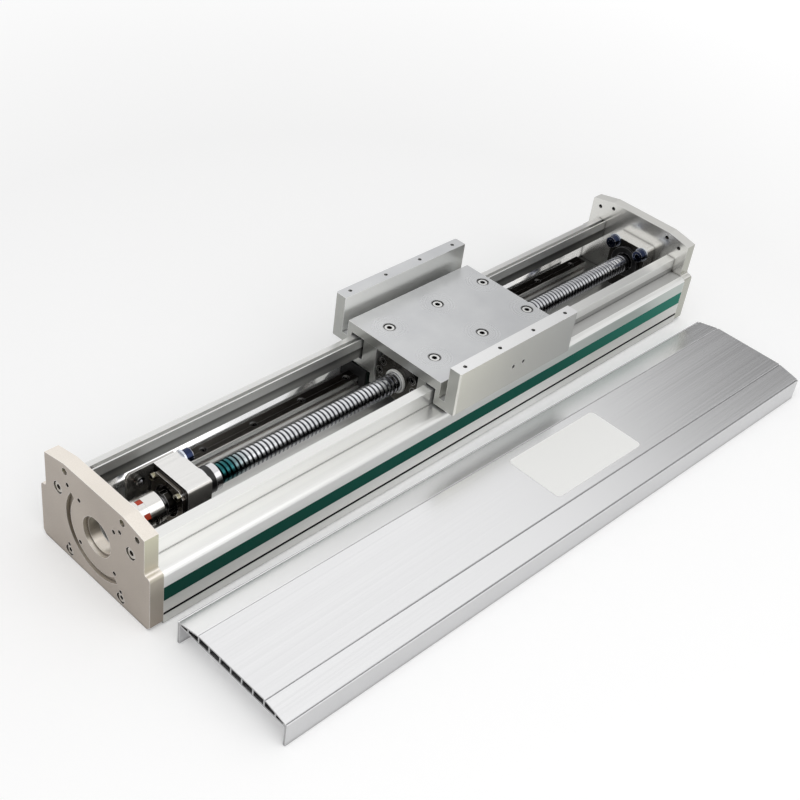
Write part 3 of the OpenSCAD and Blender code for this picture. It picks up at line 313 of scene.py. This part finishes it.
def blasted_aluminium():
    """Bead-blasted aluminium: even grain, warm grey with painted shade on faces toward the motor end and on
    the near side, darker toward the bottom, and bright and smooth on the tail end, with painted shade on its
    near side.
    """
    mat, tree, shader, place = start("bead-blasted aluminium", "#D9D2C8", 0.85, 0.38)
    x, _, z = add(tree, "SeparateXYZ", {0: place})
    # Real grit is 0.1 mm; drawn at 1 mm so that it shows.
    grit = grain(tree, place, (1, 1, 1))
    cloud = grain(tree, place, (50, 50, 50))
    mixed = add(tree, "Math", {0: grit, 1: cloud}, operation="ADD")[0]
    mixed = add(tree, "MapRange", {0: mixed, 1: 0.7, 2: 1.3})[0]
    # Painted shade on the faces toward the motor end.
    face = add(tree, "ValToRGB", {0: mixed}, ((0.0, "#A59C93"), (1.0, "#B2A99F")))[0]
    rest = add(tree, "ValToRGB", {0: mixed}, ((0.0, "#E6DFD5"), (1.0, "#F2EBE2")))[0]
    tint = paint(tree, rest, facing(tree, 0, -1), face)
    # Painted shade on the near side, darker toward the bottom.
    height = add(tree, "MapRange", {0: z, 1: 0.0, 2: 100 * MM})[0]
    stops = ((0.0, "#8E847A"), (0.5, "#AFA89C"), (1.0, "#CDCBB4"))
    near_side = add(tree, "ValToRGB", {0: height}, stops)[0]
    tint = paint(tree, tint, facing(tree, 1, -1), near_side)
    tail = within(tree, x, 0, ENDLESS)
    tint = paint(tree, tint, tail, "#E6E5E1")
    # Painted shade, slightly green, on the tail end's near side.
    tint = shade(tree, tint, where(tree, tail, facing(tree, 1, -1)), "#C0C1BA")
    tree.links.new(add(tree, "MapRange", {0: tail, 3: 0.38, 4: 0.18})[0], shader.inputs["Roughness"])
    crown = where(tree, tail, facing(tree, 2, 1))
    tree.links.new(add(tree, "MapRange", {0: crown, 3: 0.85, 4: 0.2})[0], shader.inputs["Metallic"])
    relief = add(tree, "Bump", {"Height": grit, "Distance": 0.03 * MM, "Strength": 1.0})[0]
    tree.links.new(relief, shader.inputs["Normal"])
    # Painted shade in holes and corners, painted highlights on edges.
    paint_shade_and_highlights(tree, shader, tint, hollow="#3C352F", reach_mm=6.0, rim=0.6)
    return mat


def table_screw_reach(tree, place):
    """Distance from the axis of the nearest table screw, in metres."""
    low, high = corners("table_screws")
    middle = (low[0] + high[0]) / 2
    pitch = (high[0] - low[0]) / 2 - TABLE_HEAD_RADIUS
    row = high[1] - TABLE_HEAD_RADIUS
    x, y, _ = add(tree, "SeparateXYZ", {0: place})
    steps = add(tree, "Math", {0: x, 1: middle * MM}, operation="SUBTRACT")[0]
    steps = add(tree, "Math", {0: steps, 1: pitch * MM}, operation="DIVIDE")[0]
    nearest = add(tree, "Math", {0: steps}, operation="ROUND")[0]
    off = add(tree, "Math", {0: steps, 1: nearest}, operation="SUBTRACT")[0]
    off = add(tree, "Math", {0: off, 1: pitch * MM}, operation="MULTIPLY")[0]
    side = add(tree, "Math", {0: y}, operation="ABSOLUTE")[0]
    across = add(tree, "Math", {0: side, 1: row * MM}, operation="SUBTRACT")[0]
    spot = add(tree, "CombineXYZ", {0: off, 1: across})[0]
    return add(tree, "VectorMath", {0: spot}, operation="LENGTH")["Value"]


def tone_near_faces(tree, tint, x, y, z):
    """Painted shade on faces toward the near side, darker toward the tail end, and painted light on the near
    upright's top.
    """
    # Painted shade on faces toward the near side, darkening along the table.
    table = add(tree, "MapRange", {0: x, 1: TABLE_START * MM, 2: TABLE_END * MM})[0]
    near = add(tree, "ValToRGB", {0: table}, ((0.0, "#D8D7CD"), (0.45, "#C0C0BA"), (1.0, "#B2B3B0")))[0]
    far = add(tree, "ValToRGB", {0: table}, ((0.0, "#FCFCF8"), (1.0, "#CCCDCA")))[0]
    to_far = add(tree, "MapRange", {0: y, 1: -10 * MM, 2: 10 * MM})[0]
    tint = paint(tree, tint, facing(tree, 1, -1), paint(tree, near, to_far, far))
    # Painted light on the near upright's top.
    near_top_light = where(tree, within(tree, z, TABLE_TOP - 0.8, ENDLESS), within(tree, y, -ENDLESS, 0))
    return paint(tree, tint, where(tree, near_top_light, facing(tree, 2, 1)), "#F6F6F6")


def milled_aluminium():
    """Milled and anodised aluminium: cloudy satin with faint tool rings round the screws."""
    mat, tree, shader, place = start("milled anodised aluminium", "#D0D0D1", 0.8, 0.27)
    x, y, z = add(tree, "SeparateXYZ", {0: place})
    cloud = grain(tree, place, (40, 40, 40), detail=3)
    tint = add(tree, "ValToRGB", {0: cloud}, ((0.3, "#CBCCCE"), (0.7, "#D6D7D8")))[0]
    # Painted shade on faces toward the motor end.
    tint = shade(tree, tint, facing(tree, 0, -1), "#CFCFC9")
    tint = tone_near_faces(tree, tint, x, y, z)
    # Tool rings of 3 mm pitch lie 10 to 22 mm from each screw, and painted shade fills the counterbore round
    # its head.
    ring_pitch = 3 * MM
    reach = table_screw_reach(tree, place)
    wave = add(tree, "Math", {0: reach, 1: 2 * math.pi / ring_pitch}, operation="MULTIPLY")[0]
    wave = add(tree, "Math", {0: wave}, operation="SINE")[0]
    begin = add(tree, "MapRange", {0: reach, 1: 10 * MM, 2: 13 * MM})[0]
    end = add(tree, "MapRange", {0: reach, 1: 22 * MM, 2: 15 * MM})[0]
    rings = where(tree, wave, begin, end, facing(tree, 2, 1))
    # Painted shade round each table screw's head.
    round_heads = within(tree, z, TABLE_HEAD_Z[0] - 1, TABLE_HEAD_Z[1] + 1)
    counterbore_shade = where(tree, within(tree, reach, 0, TABLE_HEAD_RADIUS + 1.7), round_heads)
    tint = paint(tree, tint, counterbore_shade, "#3C3C3C")
    roughness = add(tree, "MapRange", {0: rings, 1: -1.0, 3: 0.24, 4: 0.34})[0]
    tree.links.new(roughness, shader.inputs["Roughness"])
    relief = add(tree, "Bump", {"Height": rings, "Distance": 0.012 * MM, "Strength": 1.0})[0]
    tree.links.new(relief, shader.inputs["Normal"])
    # Painted shade in holes and corners, painted highlights on edges.
    paint_shade_and_highlights(tree, shader, tint, hollow="#2E2E2E", reach_mm=3.0, rim=0.8)
    return mat


def table_screw_steel():
    """Nickel-plated screws: bright heads with painted shade in their sockets and round their skirts."""
    mat, tree, shader, place = start("nickel-plated steel", "#E2E2E0", 1.0, 0.18)
    across = add(tree, "MapRange", {0: table_screw_reach(tree, place), 2: (TABLE_HEAD_RADIUS + 0.5) * MM})[0]
    # Painted shade in the socket and round the skirt, with a bright ring between.
    stops = ((0.0, "#4A4A48"), (0.45, "#3A3A38"), (0.55, "#D8D8D6"), (0.84, "#E4E4E2"), (0.9, "#4A4A48"))
    head = add(tree, "ValToRGB", {0: across}, stops)[0]
    # Only the table's screws reach above 70 mm; the others in this slot are bright all over.
    z = add(tree, "SeparateXYZ", {0: place})[2]
    tint = paint(tree, "#DCDCDE", within(tree, z, 70, ENDLESS), head)
    # Painted shade in holes and corners, painted highlights on edges.
    paint_shade_and_highlights(tree, shader, tint, hollow="#242424", reach_mm=2.0, rim=0.6)
    return mat


def ground_steel():
    """Bearing block steel: ground bright on top, with painted shade on its faces toward the motor end and the
    near side.
    """
    mat, tree, shader, place = start("ground steel", "#CFCDCB", 0.85, 0.25)
    # Real grinding lines are finer; drawn 1.4 mm wide so that they show.
    lines = grain(tree, place, (60, 1.4, 60))
    tint = add(tree, "ValToRGB", {0: lines}, ((0.3, "#E4E3E1"), (0.7, "#EBEAE8")))[0]
    # Painted shade on faces toward the motor end and the near side.
    tint = shade(tree, tint, facing(tree, 0, -1), "#3A3835")
    tint = shade(tree, tint, facing(tree, 1, -1), "#D8D6D2")
    # Painted shade in holes and corners, painted highlights on edges.
    paint_shade_and_highlights(tree, shader, tint, hollow="#4A4A4A", reach_mm=3.0, rim=0.8)
    return mat


def dark_screws():
    """Oxidised screws: painted light on the motor end's face, dark elsewhere."""
    mat, tree, shader, place = start("dark oxide steel", "#7A7672", 1.0, 0.28)
    x = add(tree, "SeparateXYZ", {0: place})[0]
    outer = within(tree, x, -ENDLESS, BASE_START)
    # Painted light on the screws in the motor end's face; painted shade in holes and painted highlights on
    # edges.
    paint_shade_and_highlights(tree, shader, paint(tree, "#3E3C39", outer, "#B5B0A8"), hollow="#1C1A18", reach_mm=3.0, rim=0.6)
    return mat


def blue_zinc():
    """Blue zinc plating: deep blue bolts on brighter washers."""
    mat, tree, shader, place = start("blue zinc steel", "#7E90AE", 1.0, 0.16)
    x = add(tree, "SeparateXYZ", {0: place})[0]
    masks = []
    for name in ("tail_block_washers", "drive_block_washer"):
        washer_start, washer_end = along(name)
        masks.append(within(tree, x, washer_start - 0.1, washer_end + 0.1))
    washers = add(tree, "Math", {0: masks[0], 1: masks[1]}, operation="MAXIMUM")[0]
    # Painted shade in holes and corners, painted highlights on edges.
    paint_shade_and_highlights(tree, shader, paint(tree, "#2E3752", washers, "#D5DCE8"), hollow="#16181F", reach_mm=3.0, rim=0.9)
    return mat


def black_plate():
    """Black oxide on the bearing retainer, with painted light on the stay plate beside the coupling."""
    mat, tree, shader, place = start("black oxide plate", "#5A554E", 0.9, 0.22)
    x, y, _ = add(tree, "SeparateXYZ", {0: place})
    stay_start, stay_end = along("coupling_stay")
    stay_side = corners("coupling_stay")[0][1]
    # Painted light along the stay plate, from grey to light grey toward its end.
    stay_light = add(tree, "MapRange", {0: x, 1: stay_start * MM, 2: (stay_end - 6) * MM})[0]
    grey = add(tree, "ValToRGB", {0: stay_light}, ((0.0, "#7C7A76"), (1.0, "#C4C2BE")))[0]
    tint = paint(tree, "#5A554E", within(tree, y, stay_side - 0.1, ENDLESS), grey)
    # Painted shade in holes and corners, painted highlights on edges.
    paint_shade_and_highlights(tree, shader, tint, hollow="#2A2A2A", reach_mm=1.5, rim=0.6)
    return mat


def rolled_steel():
    """Rolled ball screw steel: polished crests, painted shade in the grooves, and teal near its motor end."""
    mat, tree, shader, place = start("rolled screw steel", "#E4E5E8", 1.0, 0.15)
    x = add(tree, "SeparateXYZ", {0: place})[0]
    axis = (0, AXIS_Y * MM, AXIS_Z * MM)
    off_axis = add(tree, "VectorMath", {0: place, 1: axis}, operation="SUBTRACT")[0]
    off_axis = add(tree, "VectorMath", {0: off_axis, 1: (0, 1, 1)}, operation="MULTIPLY")[0]
    radius = add(tree, "VectorMath", {0: off_axis}, operation="LENGTH")["Value"]
    fade_along_x = add(tree, "MapRange", {0: x, 1: THREAD_START * MM, 2: (THREAD_START + 35) * MM})[0]
    stops = ((0.0, "#D8D8DC"), (0.02, "#245E60"), (0.4, "#356C70"), (1.0, "#DCDDE0"))
    teal_tint = add(tree, "ValToRGB", {0: fade_along_x}, stops)[0]
    # Painted shade in the grooves, darkest at their bottoms.
    depth = add(tree, "MapRange", {0: radius, 1: (SCREW_RADIUS - 1.2) * MM, 2: (SCREW_RADIUS - 0.1) * MM})[0]
    groove = add(tree, "ValToRGB", {0: depth}, ((0.0, "#6A6A6E"), (0.8, "#A8A8AC"), (1.0, WHITE)))[0]
    groove = paint(tree, WHITE, within(tree, x, THREAD_START, ENDLESS), groove)
    tree.links.new(shade(tree, teal_tint, 1.0, groove), shader.inputs["Base Color"])
    return mat


def rail_steel():
    """Guide rail: dark top with painted light toward the motor end, ground bright sides with painted shade at
    the foot and a brown line in the ball groove.
    """
    mat, tree, shader, place = start("guide rail steel", "#B9B7B4", 0.9, 0.22)
    x, _, z = add(tree, "SeparateXYZ", {0: place})
    height = add(tree, "MapRange", {0: z, 1: CHANNEL_FLOOR * MM, 2: RAIL_TOP * MM})[0]
    # Painted shade at the rail's foot.
    stops = ((0.0, "#6A6866"), (0.1, "#E8E7E5"), (0.3, "#E8E7E5"), (0.4, "#8A827A"), (0.6, "#DADAD8"))
    sides = add(tree, "ValToRGB", {0: height}, stops)[0]
    # Painted light on the rail's top toward the motor end.
    fade_along_x = add(tree, "MapRange", {0: x, 1: -220 * MM, 2: -100 * MM})[0]
    top = add(tree, "ValToRGB", {0: fade_along_x}, ((0.0, "#7E7A76"), (1.0, "#45403C")))[0]
    tint = paint(tree, sides, facing(tree, 2, 1), top)
    # Painted shade in holes and corners, painted highlights on edges.
    paint_shade_and_highlights(tree, shader, tint, hollow="#3A3A3A", reach_mm=2.0, rim=0.5)
    return mat


def cover_aluminium():
    """Extruded cover plate, satin anodised, with painted shade on its faces toward the motor end and the near
    side and inside its hollow cells.
    """
    mat, tree, shader, place = start("satin cover aluminium", "#E6E6E8", 0.85, 0.22)
    # Real brush lines are finer; drawn 2 mm wide so that they show.
    lines = grain(tree, place, (900, 2, 900))
    tint = add(tree, "ValToRGB", {0: lines}, ((0.3, "#E8E8E9"), (0.7, "#EDEDEE")))[0]
    # Painted shade on faces toward the motor end and the near side.
    tint = shade(tree, tint, facing(tree, 0, -1), "#B8B8B8")
    tint = shade(tree, tint, facing(tree, 1, -1), "#DCDCDC")
    roughness = add(tree, "MapRange", {0: lines, 1: 0.3, 2: 0.7, 3: 0.2, 4: 0.25})[0]
    tree.links.new(roughness, shader.inputs["Roughness"])
    # Painted shade in holes and corners, painted highlights on edges.
    paint_shade_and_highlights(tree, shader, tint, hollow="#0E0E0E", reach_mm=8.0, rim=0.6)
    return mat


def green_plastic():
    """Dull dark green plastic strip, with painted light that brightens it toward the tail end."""
    mat, tree, shader, place = start("dark green strip", "#0B4A40", 0.0, 0.42)
    shader.inputs["Specular IOR Level"].default_value = 0.03
    x = add(tree, "SeparateXYZ", {0: place})[0]
    # Painted light along the strip, brightest at the tail end.
    length = add(tree, "MapRange", {0: x, 1: -360 * MM, 2: 360 * MM})[0]
    tint = add(tree, "ValToRGB", {0: length}, ((0.0, "#06362D"), (0.7, "#0B5145"), (1.0, "#2A7565")))[0]
    tree.links.new(tint, shader.inputs["Base Color"])
    return mat


def plain(name, base, metallic, roughness, rim=0.0, cloud_mm=4):
    """A finish of one colour, slightly cloudy in its gloss, with painted highlights on its edges and painted
    shade in its holes where rim says so.
    """
    mat, tree, shader, place = start(name, base, metallic, roughness)
    change = 0.12
    cloud = grain(tree, place, (cloud_mm,) * 3, detail=3)
    gloss = {0: cloud, 1: 0.3, 2: 0.7, 3: roughness * (1 - change), 4: roughness * (1 + change)}
    tree.links.new(add(tree, "MapRange", gloss)[0], shader.inputs["Roughness"])
    if rim:
        # Painted shade in holes and corners, painted highlights on edges.
        paint_shade_and_highlights(tree, shader, colour(base), hollow="#242424", reach_mm=3.0, rim=rim)
    return mat


WORKED_FINISHES = {
    "anodised_extrusion": drawn_aluminium,
    "green_strip": green_plastic,
    "blasted_plate": blasted_aluminium,
    "black_screw": dark_screws,
    "block_steel": ground_steel,
    "black_plate": black_plate,
    "blue_zinc": blue_zinc,
    "rail_steel": rail_steel,
    "screw_steel": rolled_steel,
    "milled_carriage": milled_aluminium,
    "socket_steel": table_screw_steel,
    "cover_alloy": cover_aluminium,
}

# What plain() takes: name, colour, metallic, roughness, rim (strength of the painted edge highlights), size
# of the clouds in mm
PLAIN_FINISHES = {
    # Zinc-plated and passivated: a dull yellow shine, with painted highlights along its edges.
    "brass_screw": ("yellow zinc steel", "#8F8A76", 1.0, 0.16, 0.6),
    # Hardened and lapped: mirror bright.
    "bearing_steel": ("bearing steel", "#D2D3D6", 1.0, 0.12),
    # Moulded rubber: near black, with a faint painted highlight on its rim.
    "stop_rubber": ("black rubber", "#0C0C0D", 0.0, 0.35, 0.25),
    # Turned on a lathe: bright and clean, with painted highlights along its edges.
    "hub_alloy": ("turned aluminium", "#E4E2DE", 1.0, 0.2, 0.6),
    # Cast polyurethane: opaque brick red.
    "red_spider": ("red elastomer", "#B23A1C", 0.0, 0.5),
    # Hardened and oiled: dark grey shine, with painted highlights along its edges.
    "nut_steel": ("dark nut steel", "#4A4844", 1.0, 0.25, 0.4),
    # Moulded plastic: milky white.
    "white_wiper": ("white wiper plastic", "#EDEDE9", 0.0, 0.45),
    # Moulded plastic: almost black, with a hint of green.
    "cap_plastic": ("dark green moulded plastic", "#16231E", 0.0, 0.35),
    # Moulded rubber: matt black.
    "seal_rubber": ("black seal rubber", "#18191A", 0.0, 0.6),
    # Blank film: clean satin white.
    "label_film": ("white label film", "#F2F2F0", 0.0, 0.45, 0.0, 20),
}


def make_finishes():
    """A finish for every material slot of the record."""
    made = {slot: build() for slot, build in WORKED_FINISHES.items()}
    made.update({slot: plain(*values) for slot, values in PLAIN_FINISHES.items()})
    return made


# ---------------------------------------------------------------- nodes

CAD_SHARP_ANGLE = math.radians(24)
FLAT_ANGLE = math.radians(0.5)
BEVEL_ANGLE = math.radians(35)

# Bevel widths in mm on the pieces whose edges are seen
BEVELS = {
    "base_extrusion": 0.35,
    "drive_end_plate": 0.5,
    "tail_end_plate": 0.5,
    "drive_bearing_block": 0.6,
    "tail_bearing_block": 0.6,
    "carriage_table": 0.8,
    "saddle": 0.4,
    "top_cover": 0.25,
    "coupling_hub_screw": 0.3,
    "coupling_hub_motor": 0.3,
    "ball_nut": 0.4,
    "screw_collar": 0.3,
    "table_screws": 0.3,
    "drive_plate_screws": 0.3,
    "tail_plate_screws": 0.3,
    "tail_block_bolts": 0.5,
    "drive_block_bolt": 0.5,
    "retainer_screws": 0.3,
    "bearing_retainer": 0.3,
}


def dress_nodes(finishes):
    """Gives every node its finish, smooth round faces and sharp edges."""
    for row in frame["record"]["subparts"]:
        node = NODES[row["node"]]
        node.data.materials.clear()
        node.data.materials.append(finishes[row["material_slot"]])
        node.data.shade_smooth()
        node.data.set_sharp_from_angle(angle=CAD_SHARP_ANGLE)


def soften_edges():
    """Small bevels that catch light, on merged flat faces."""
    for name, width in BEVELS.items():
        node = NODES[name]
        merge = node.modifiers.new("merge flat faces", "DECIMATE")
        merge.decimate_type = "DISSOLVE"
        merge.angle_limit = FLAT_ANGLE
        edge = node.modifiers.new("edge bevel", "BEVEL")
        edge.width = width * MM
        edge.segments = 2
        edge.limit_method = "ANGLE"
        edge.angle_limit = BEVEL_ANGLE
        edge.harden_normals = True


# ---------------------------------------------------------------- ball screw

AROUND = 48  # faces round the screw
MERGE_DISTANCE = 1e-6
THREAD_SHARP_ANGLE = math.radians(32)


def thread_profile():
    """One lead of the screw as (place along it, radius): a flat crest, then a round ball groove."""
    steps, roundness = 6, 0.7
    points = [(0.0, SCREW_RADIUS), (CREST, SCREW_RADIUS)]
    for i in range(1, steps):
        t = i / steps
        depth = GROOVE_DEPTH * math.sin(math.pi * t) ** roundness
        points.append((CREST + (LEAD - CREST) * t, SCREW_RADIUS - depth))
    return points


def drive_journal():
    """Outline of the turned end that carries the coupling, the lock nut, two bearings and the collar."""
    screw_start = along("ball_screw")[0]
    shaft_end = along("lock_nut")[0] - 1.5
    bearing_start, bearing_end = along("drive_bearing_inner_rings")
    collar_start, collar_end = along("screw_collar")
    collar_seat, root = SCREW_RADIUS - 0.1, SCREW_RADIUS - 0.4
    return [
        (screw_start, 0), (screw_start, SHAFT_RADIUS - 0.4), (screw_start + 0.4, SHAFT_RADIUS),
        (shaft_end, SHAFT_RADIUS), (shaft_end, JOURNAL_RADIUS - 0.1), (bearing_start, JOURNAL_RADIUS),
        (bearing_end, JOURNAL_RADIUS), (bearing_end, SCREW_RADIUS), (collar_start, SCREW_RADIUS),
        (collar_start, collar_seat), (collar_end, collar_seat), (collar_end, root), (THREAD_START, root),
        (THREAD_START, 0),
    ]


def tail_journal():
    """Outline of the turned end that carries the tail bearing and its retaining ring."""
    screw_end = along("ball_screw")[1]
    bearing_start = along("tail_bearing_inner_ring")[0]
    ring_start, ring_end = along("retaining_ring")
    neck = SCREW_RADIUS - 0.7
    return [
        (THREAD_END, 0), (THREAD_END, neck), (bearing_start, neck), (bearing_start, JOURNAL_RADIUS),
        (ring_start, JOURNAL_RADIUS), (ring_start, JOURNAL_RADIUS - 0.5), (ring_end, JOURNAL_RADIUS - 0.5),
        (ring_end, JOURNAL_RADIUS), (screw_end - 0.5, JOURNAL_RADIUS), (screw_end, JOURNAL_RADIUS - 0.5),
        (screw_end, 0),
    ]


def on_screw(mesh, x, radius, turn):
    """A vertex at this place, radius and share of a turn round the screw's axis."""
    angle = 2 * math.pi * turn
    y, z = AXIS_Y + radius * math.cos(angle), AXIS_Z + radius * math.sin(angle)
    return mesh.verts.new((x * MM, y * MM, z * MM))


def helix(mesh):
    """The right-hand ball groove, cut off square at both ends of the thread."""
    rows = []
    for turn in range(-1, int((THREAD_END - THREAD_START) / LEAD) + 3):
        for at, radius in thread_profile():
            row = []
            for i in range(AROUND + 1):
                x = THREAD_START + (turn + i / AROUND) * LEAD + at
                row.append(on_screw(mesh, min(max(x, THREAD_START), THREAD_END), radius, i / AROUND))
            rows.append(row)
    for low, high in zip(rows, rows[1:]):
        for i in range(AROUND):
            if max(high[j].co.x - low[j].co.x for j in (i, i + 1)) > MERGE_DISTANCE:
                mesh.faces.new((low[i], low[i + 1], high[i + 1], high[i]))


def lathe(mesh, outline):
    """Turns an outline of (x, radius) round the screw's axis."""
    rings = [[on_screw(mesh, x, radius, i / AROUND) for i in range(AROUND)] for x, radius in outline]
    for low, high in zip(rings, rings[1:]):
        for i in range(AROUND):
            j = (i + 1) % AROUND
            mesh.faces.new((low[i], low[j], high[j], high[i]))


def to_mesh(mesh, name):
    """Turns the mesh being built into mesh data, and frees it."""
    data = bpy.data.meshes.new(name)
    mesh.to_mesh(data)
    mesh.free()
    return data


def make_screw(finish):
    """Ball screw with its real helical groove, where the solid has rings."""
    mesh = bmesh.new()
    helix(mesh)
    bmesh.ops.remove_doubles(mesh, verts=mesh.verts, dist=MERGE_DISTANCE)
    lathe(mesh, drive_journal())
    lathe(mesh, tail_journal())
    bmesh.ops.remove_doubles(mesh, verts=mesh.verts, dist=MERGE_DISTANCE)
    bmesh.ops.recalc_face_normals(mesh, faces=mesh.faces)
    data = to_mesh(mesh, "ball_screw_helical")
    data.materials.append(finish)
    data.shade_smooth()
    data.set_sharp_from_angle(angle=THREAD_SHARP_ANGLE)
    piece = bpy.data.objects.new("ball_screw_helical", data)
    bpy.context.scene.collection.objects.link(piece)
    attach(piece, "screw")
    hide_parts("ball_screw")


# ---------------------------------------------------------------- studio

# Strength of the surroundings: as seen, as light, and as the object mirrors them
SEEN_LEVEL, LIGHT_LEVEL = 1.0, 0.62
MIRRORED_LEVEL, MIRRORED_NEAR_LEVEL, MIRRORED_TAIL_LEVEL, MIRRORED_FAR_TAIL_LEVEL = 1.0, 0.82, 0.1, 0.5

FLOOR_RADIUS = 9
FLOOR_DROP = 0.3 * MM  # keeps the floor clear of the undersides
FLOOR_GLOW = (0.17, 0.6)
FLOOR_GLOW_REACH = (0.6, 2.4)

# Name, place in metres, power in watts and width in metres
LAMPS = (
    ("broad lamp", (-0.6, -0.2, 2.2), 7.0, 1.6),
    ("near side lamp", (-0.2, -1.7, 1.35), 18.0, 2.8),
)
LAMP_AIM = Vector((0, -0.05, 0.05))


def mirrored_surroundings(tree):
    """How bright each direction is mirrored: dark toward the tail end, a little less on the near side."""
    x, y, _ = add(tree, "SeparateXYZ", {0: add(tree, "TexCoord")["Generated"]})
    toward_tail = {0: x, 1: 0.68, 2: 0.775, 3: MIRRORED_LEVEL, 4: MIRRORED_TAIL_LEVEL}
    straight_along = {0: x, 1: 0.82, 2: 0.92, 4: MIRRORED_FAR_TAIL_LEVEL}
    levels = [add(tree, "MapRange", values)[0] for values in (toward_tail, straight_along)]
    level = add(tree, "Math", {0: levels[0], 1: levels[1]}, operation="MAXIMUM")[0]
    toward_near = add(tree, "MapRange", {0: y, 1: -0.1, 2: -0.3})[0]
    return add(tree, "Mix", {0: toward_near, 2: level, 3: MIRRORED_NEAR_LEVEL})[0]


def make_world(scene):
    """White surroundings to the eye, a plain level of light, and calmer reflections."""
    world = bpy.data.worlds.new("surroundings")
    scene.world = world
    world.use_nodes = True
    tree = world.node_tree
    tree.nodes.clear()
    ray = add(tree, "LightPath")
    rays = {0: ray["Is Glossy Ray"], 1: ray["Is Transmission Ray"]}
    mirror = add(tree, "Math", rays, operation="MAXIMUM")[0]
    # 0, 2 and 3 are the node's factor and its two numbers.
    level = add(tree, "Mix", {0: mirror, 2: LIGHT_LEVEL, 3: mirrored_surroundings(tree)})[0]
    level = add(tree, "Mix", {0: ray["Is Camera Ray"], 2: level, 3: SEEN_LEVEL})[0]
    add(tree, "OutputWorld", {0: add(tree, "Background", {"Color": colour(WHITE), "Strength": level})[0]})


def floor_finish():
    """Pale floor that keeps the shadows and is white to the eye and in reflections."""
    mat = bpy.data.materials.new("pale floor")
    mat.use_nodes = True
    tree = mat.node_tree
    tree.nodes.clear()
    ray = add(tree, "LightPath")
    seen = ray["Is Camera Ray"]
    for other in ("Is Glossy Ray", "Is Transmission Ray"):
        seen = add(tree, "Math", {0: seen, 1: ray[other]}, operation="MAXIMUM")[0]
    reach = add(tree, "VectorMath", {0: add(tree, "TexCoord")["Object"]}, operation="LENGTH")["Value"]
    (near, far), (low, high) = FLOOR_GLOW_REACH, FLOOR_GLOW
    glow = add(tree, "MapRange", {0: reach, 1: near, 2: far, 3: low, 4: high})[0]
    glow = add(tree, "Math", {0: seen, 1: glow}, operation="MULTIPLY")[0]
    glow = add(tree, "Emission", {"Color": colour(WHITE), "Strength": glow})[0]
    lit = add(tree, "BsdfDiffuse", {"Color": colour("#F2F2F2")})[0]
    add(tree, "OutputMaterial", {0: add(tree, "AddShader", {0: lit, 1: glow})[0]})
    return mat


def make_floor(scene):
    """A wide round floor just under the object."""
    disc = bmesh.new()
    bmesh.ops.create_circle(disc, cap_ends=True, segments=96, radius=FLOOR_RADIUS)
    floor = bpy.data.objects.new("floor", to_mesh(disc, "floor"))
    floor.location.z = -FLOOR_DROP
    floor.data.materials.append(floor_finish())
    scene.collection.objects.link(floor)


def make_lamps(scene):
    """A broad lamp above and one beside the near long side, both out of the camera's sight."""
    for name, place, power, size in LAMPS:
        data = bpy.data.lights.new(name, "AREA")
        data.energy = power
        data.size = size
        lamp = bpy.data.objects.new(name, data)
        lamp.location = place
        lamp.rotation_euler = (LAMP_AIM - lamp.location).to_track_quat("-Z", "Y").to_euler()
        lamp.visible_camera = False
        scene.collection.objects.link(lamp)


def make_studio():
    """White room with soft light."""
    scene = bpy.context.scene
    scene.view_settings.view_transform = "Standard"
    make_world(scene)
    make_floor(scene)
    make_lamps(scene)


make_camera()
finishes = make_finishes()
dress_nodes(finishes)
soften_edges()
make_screw(finishes["screw_steel"])
make_studio()
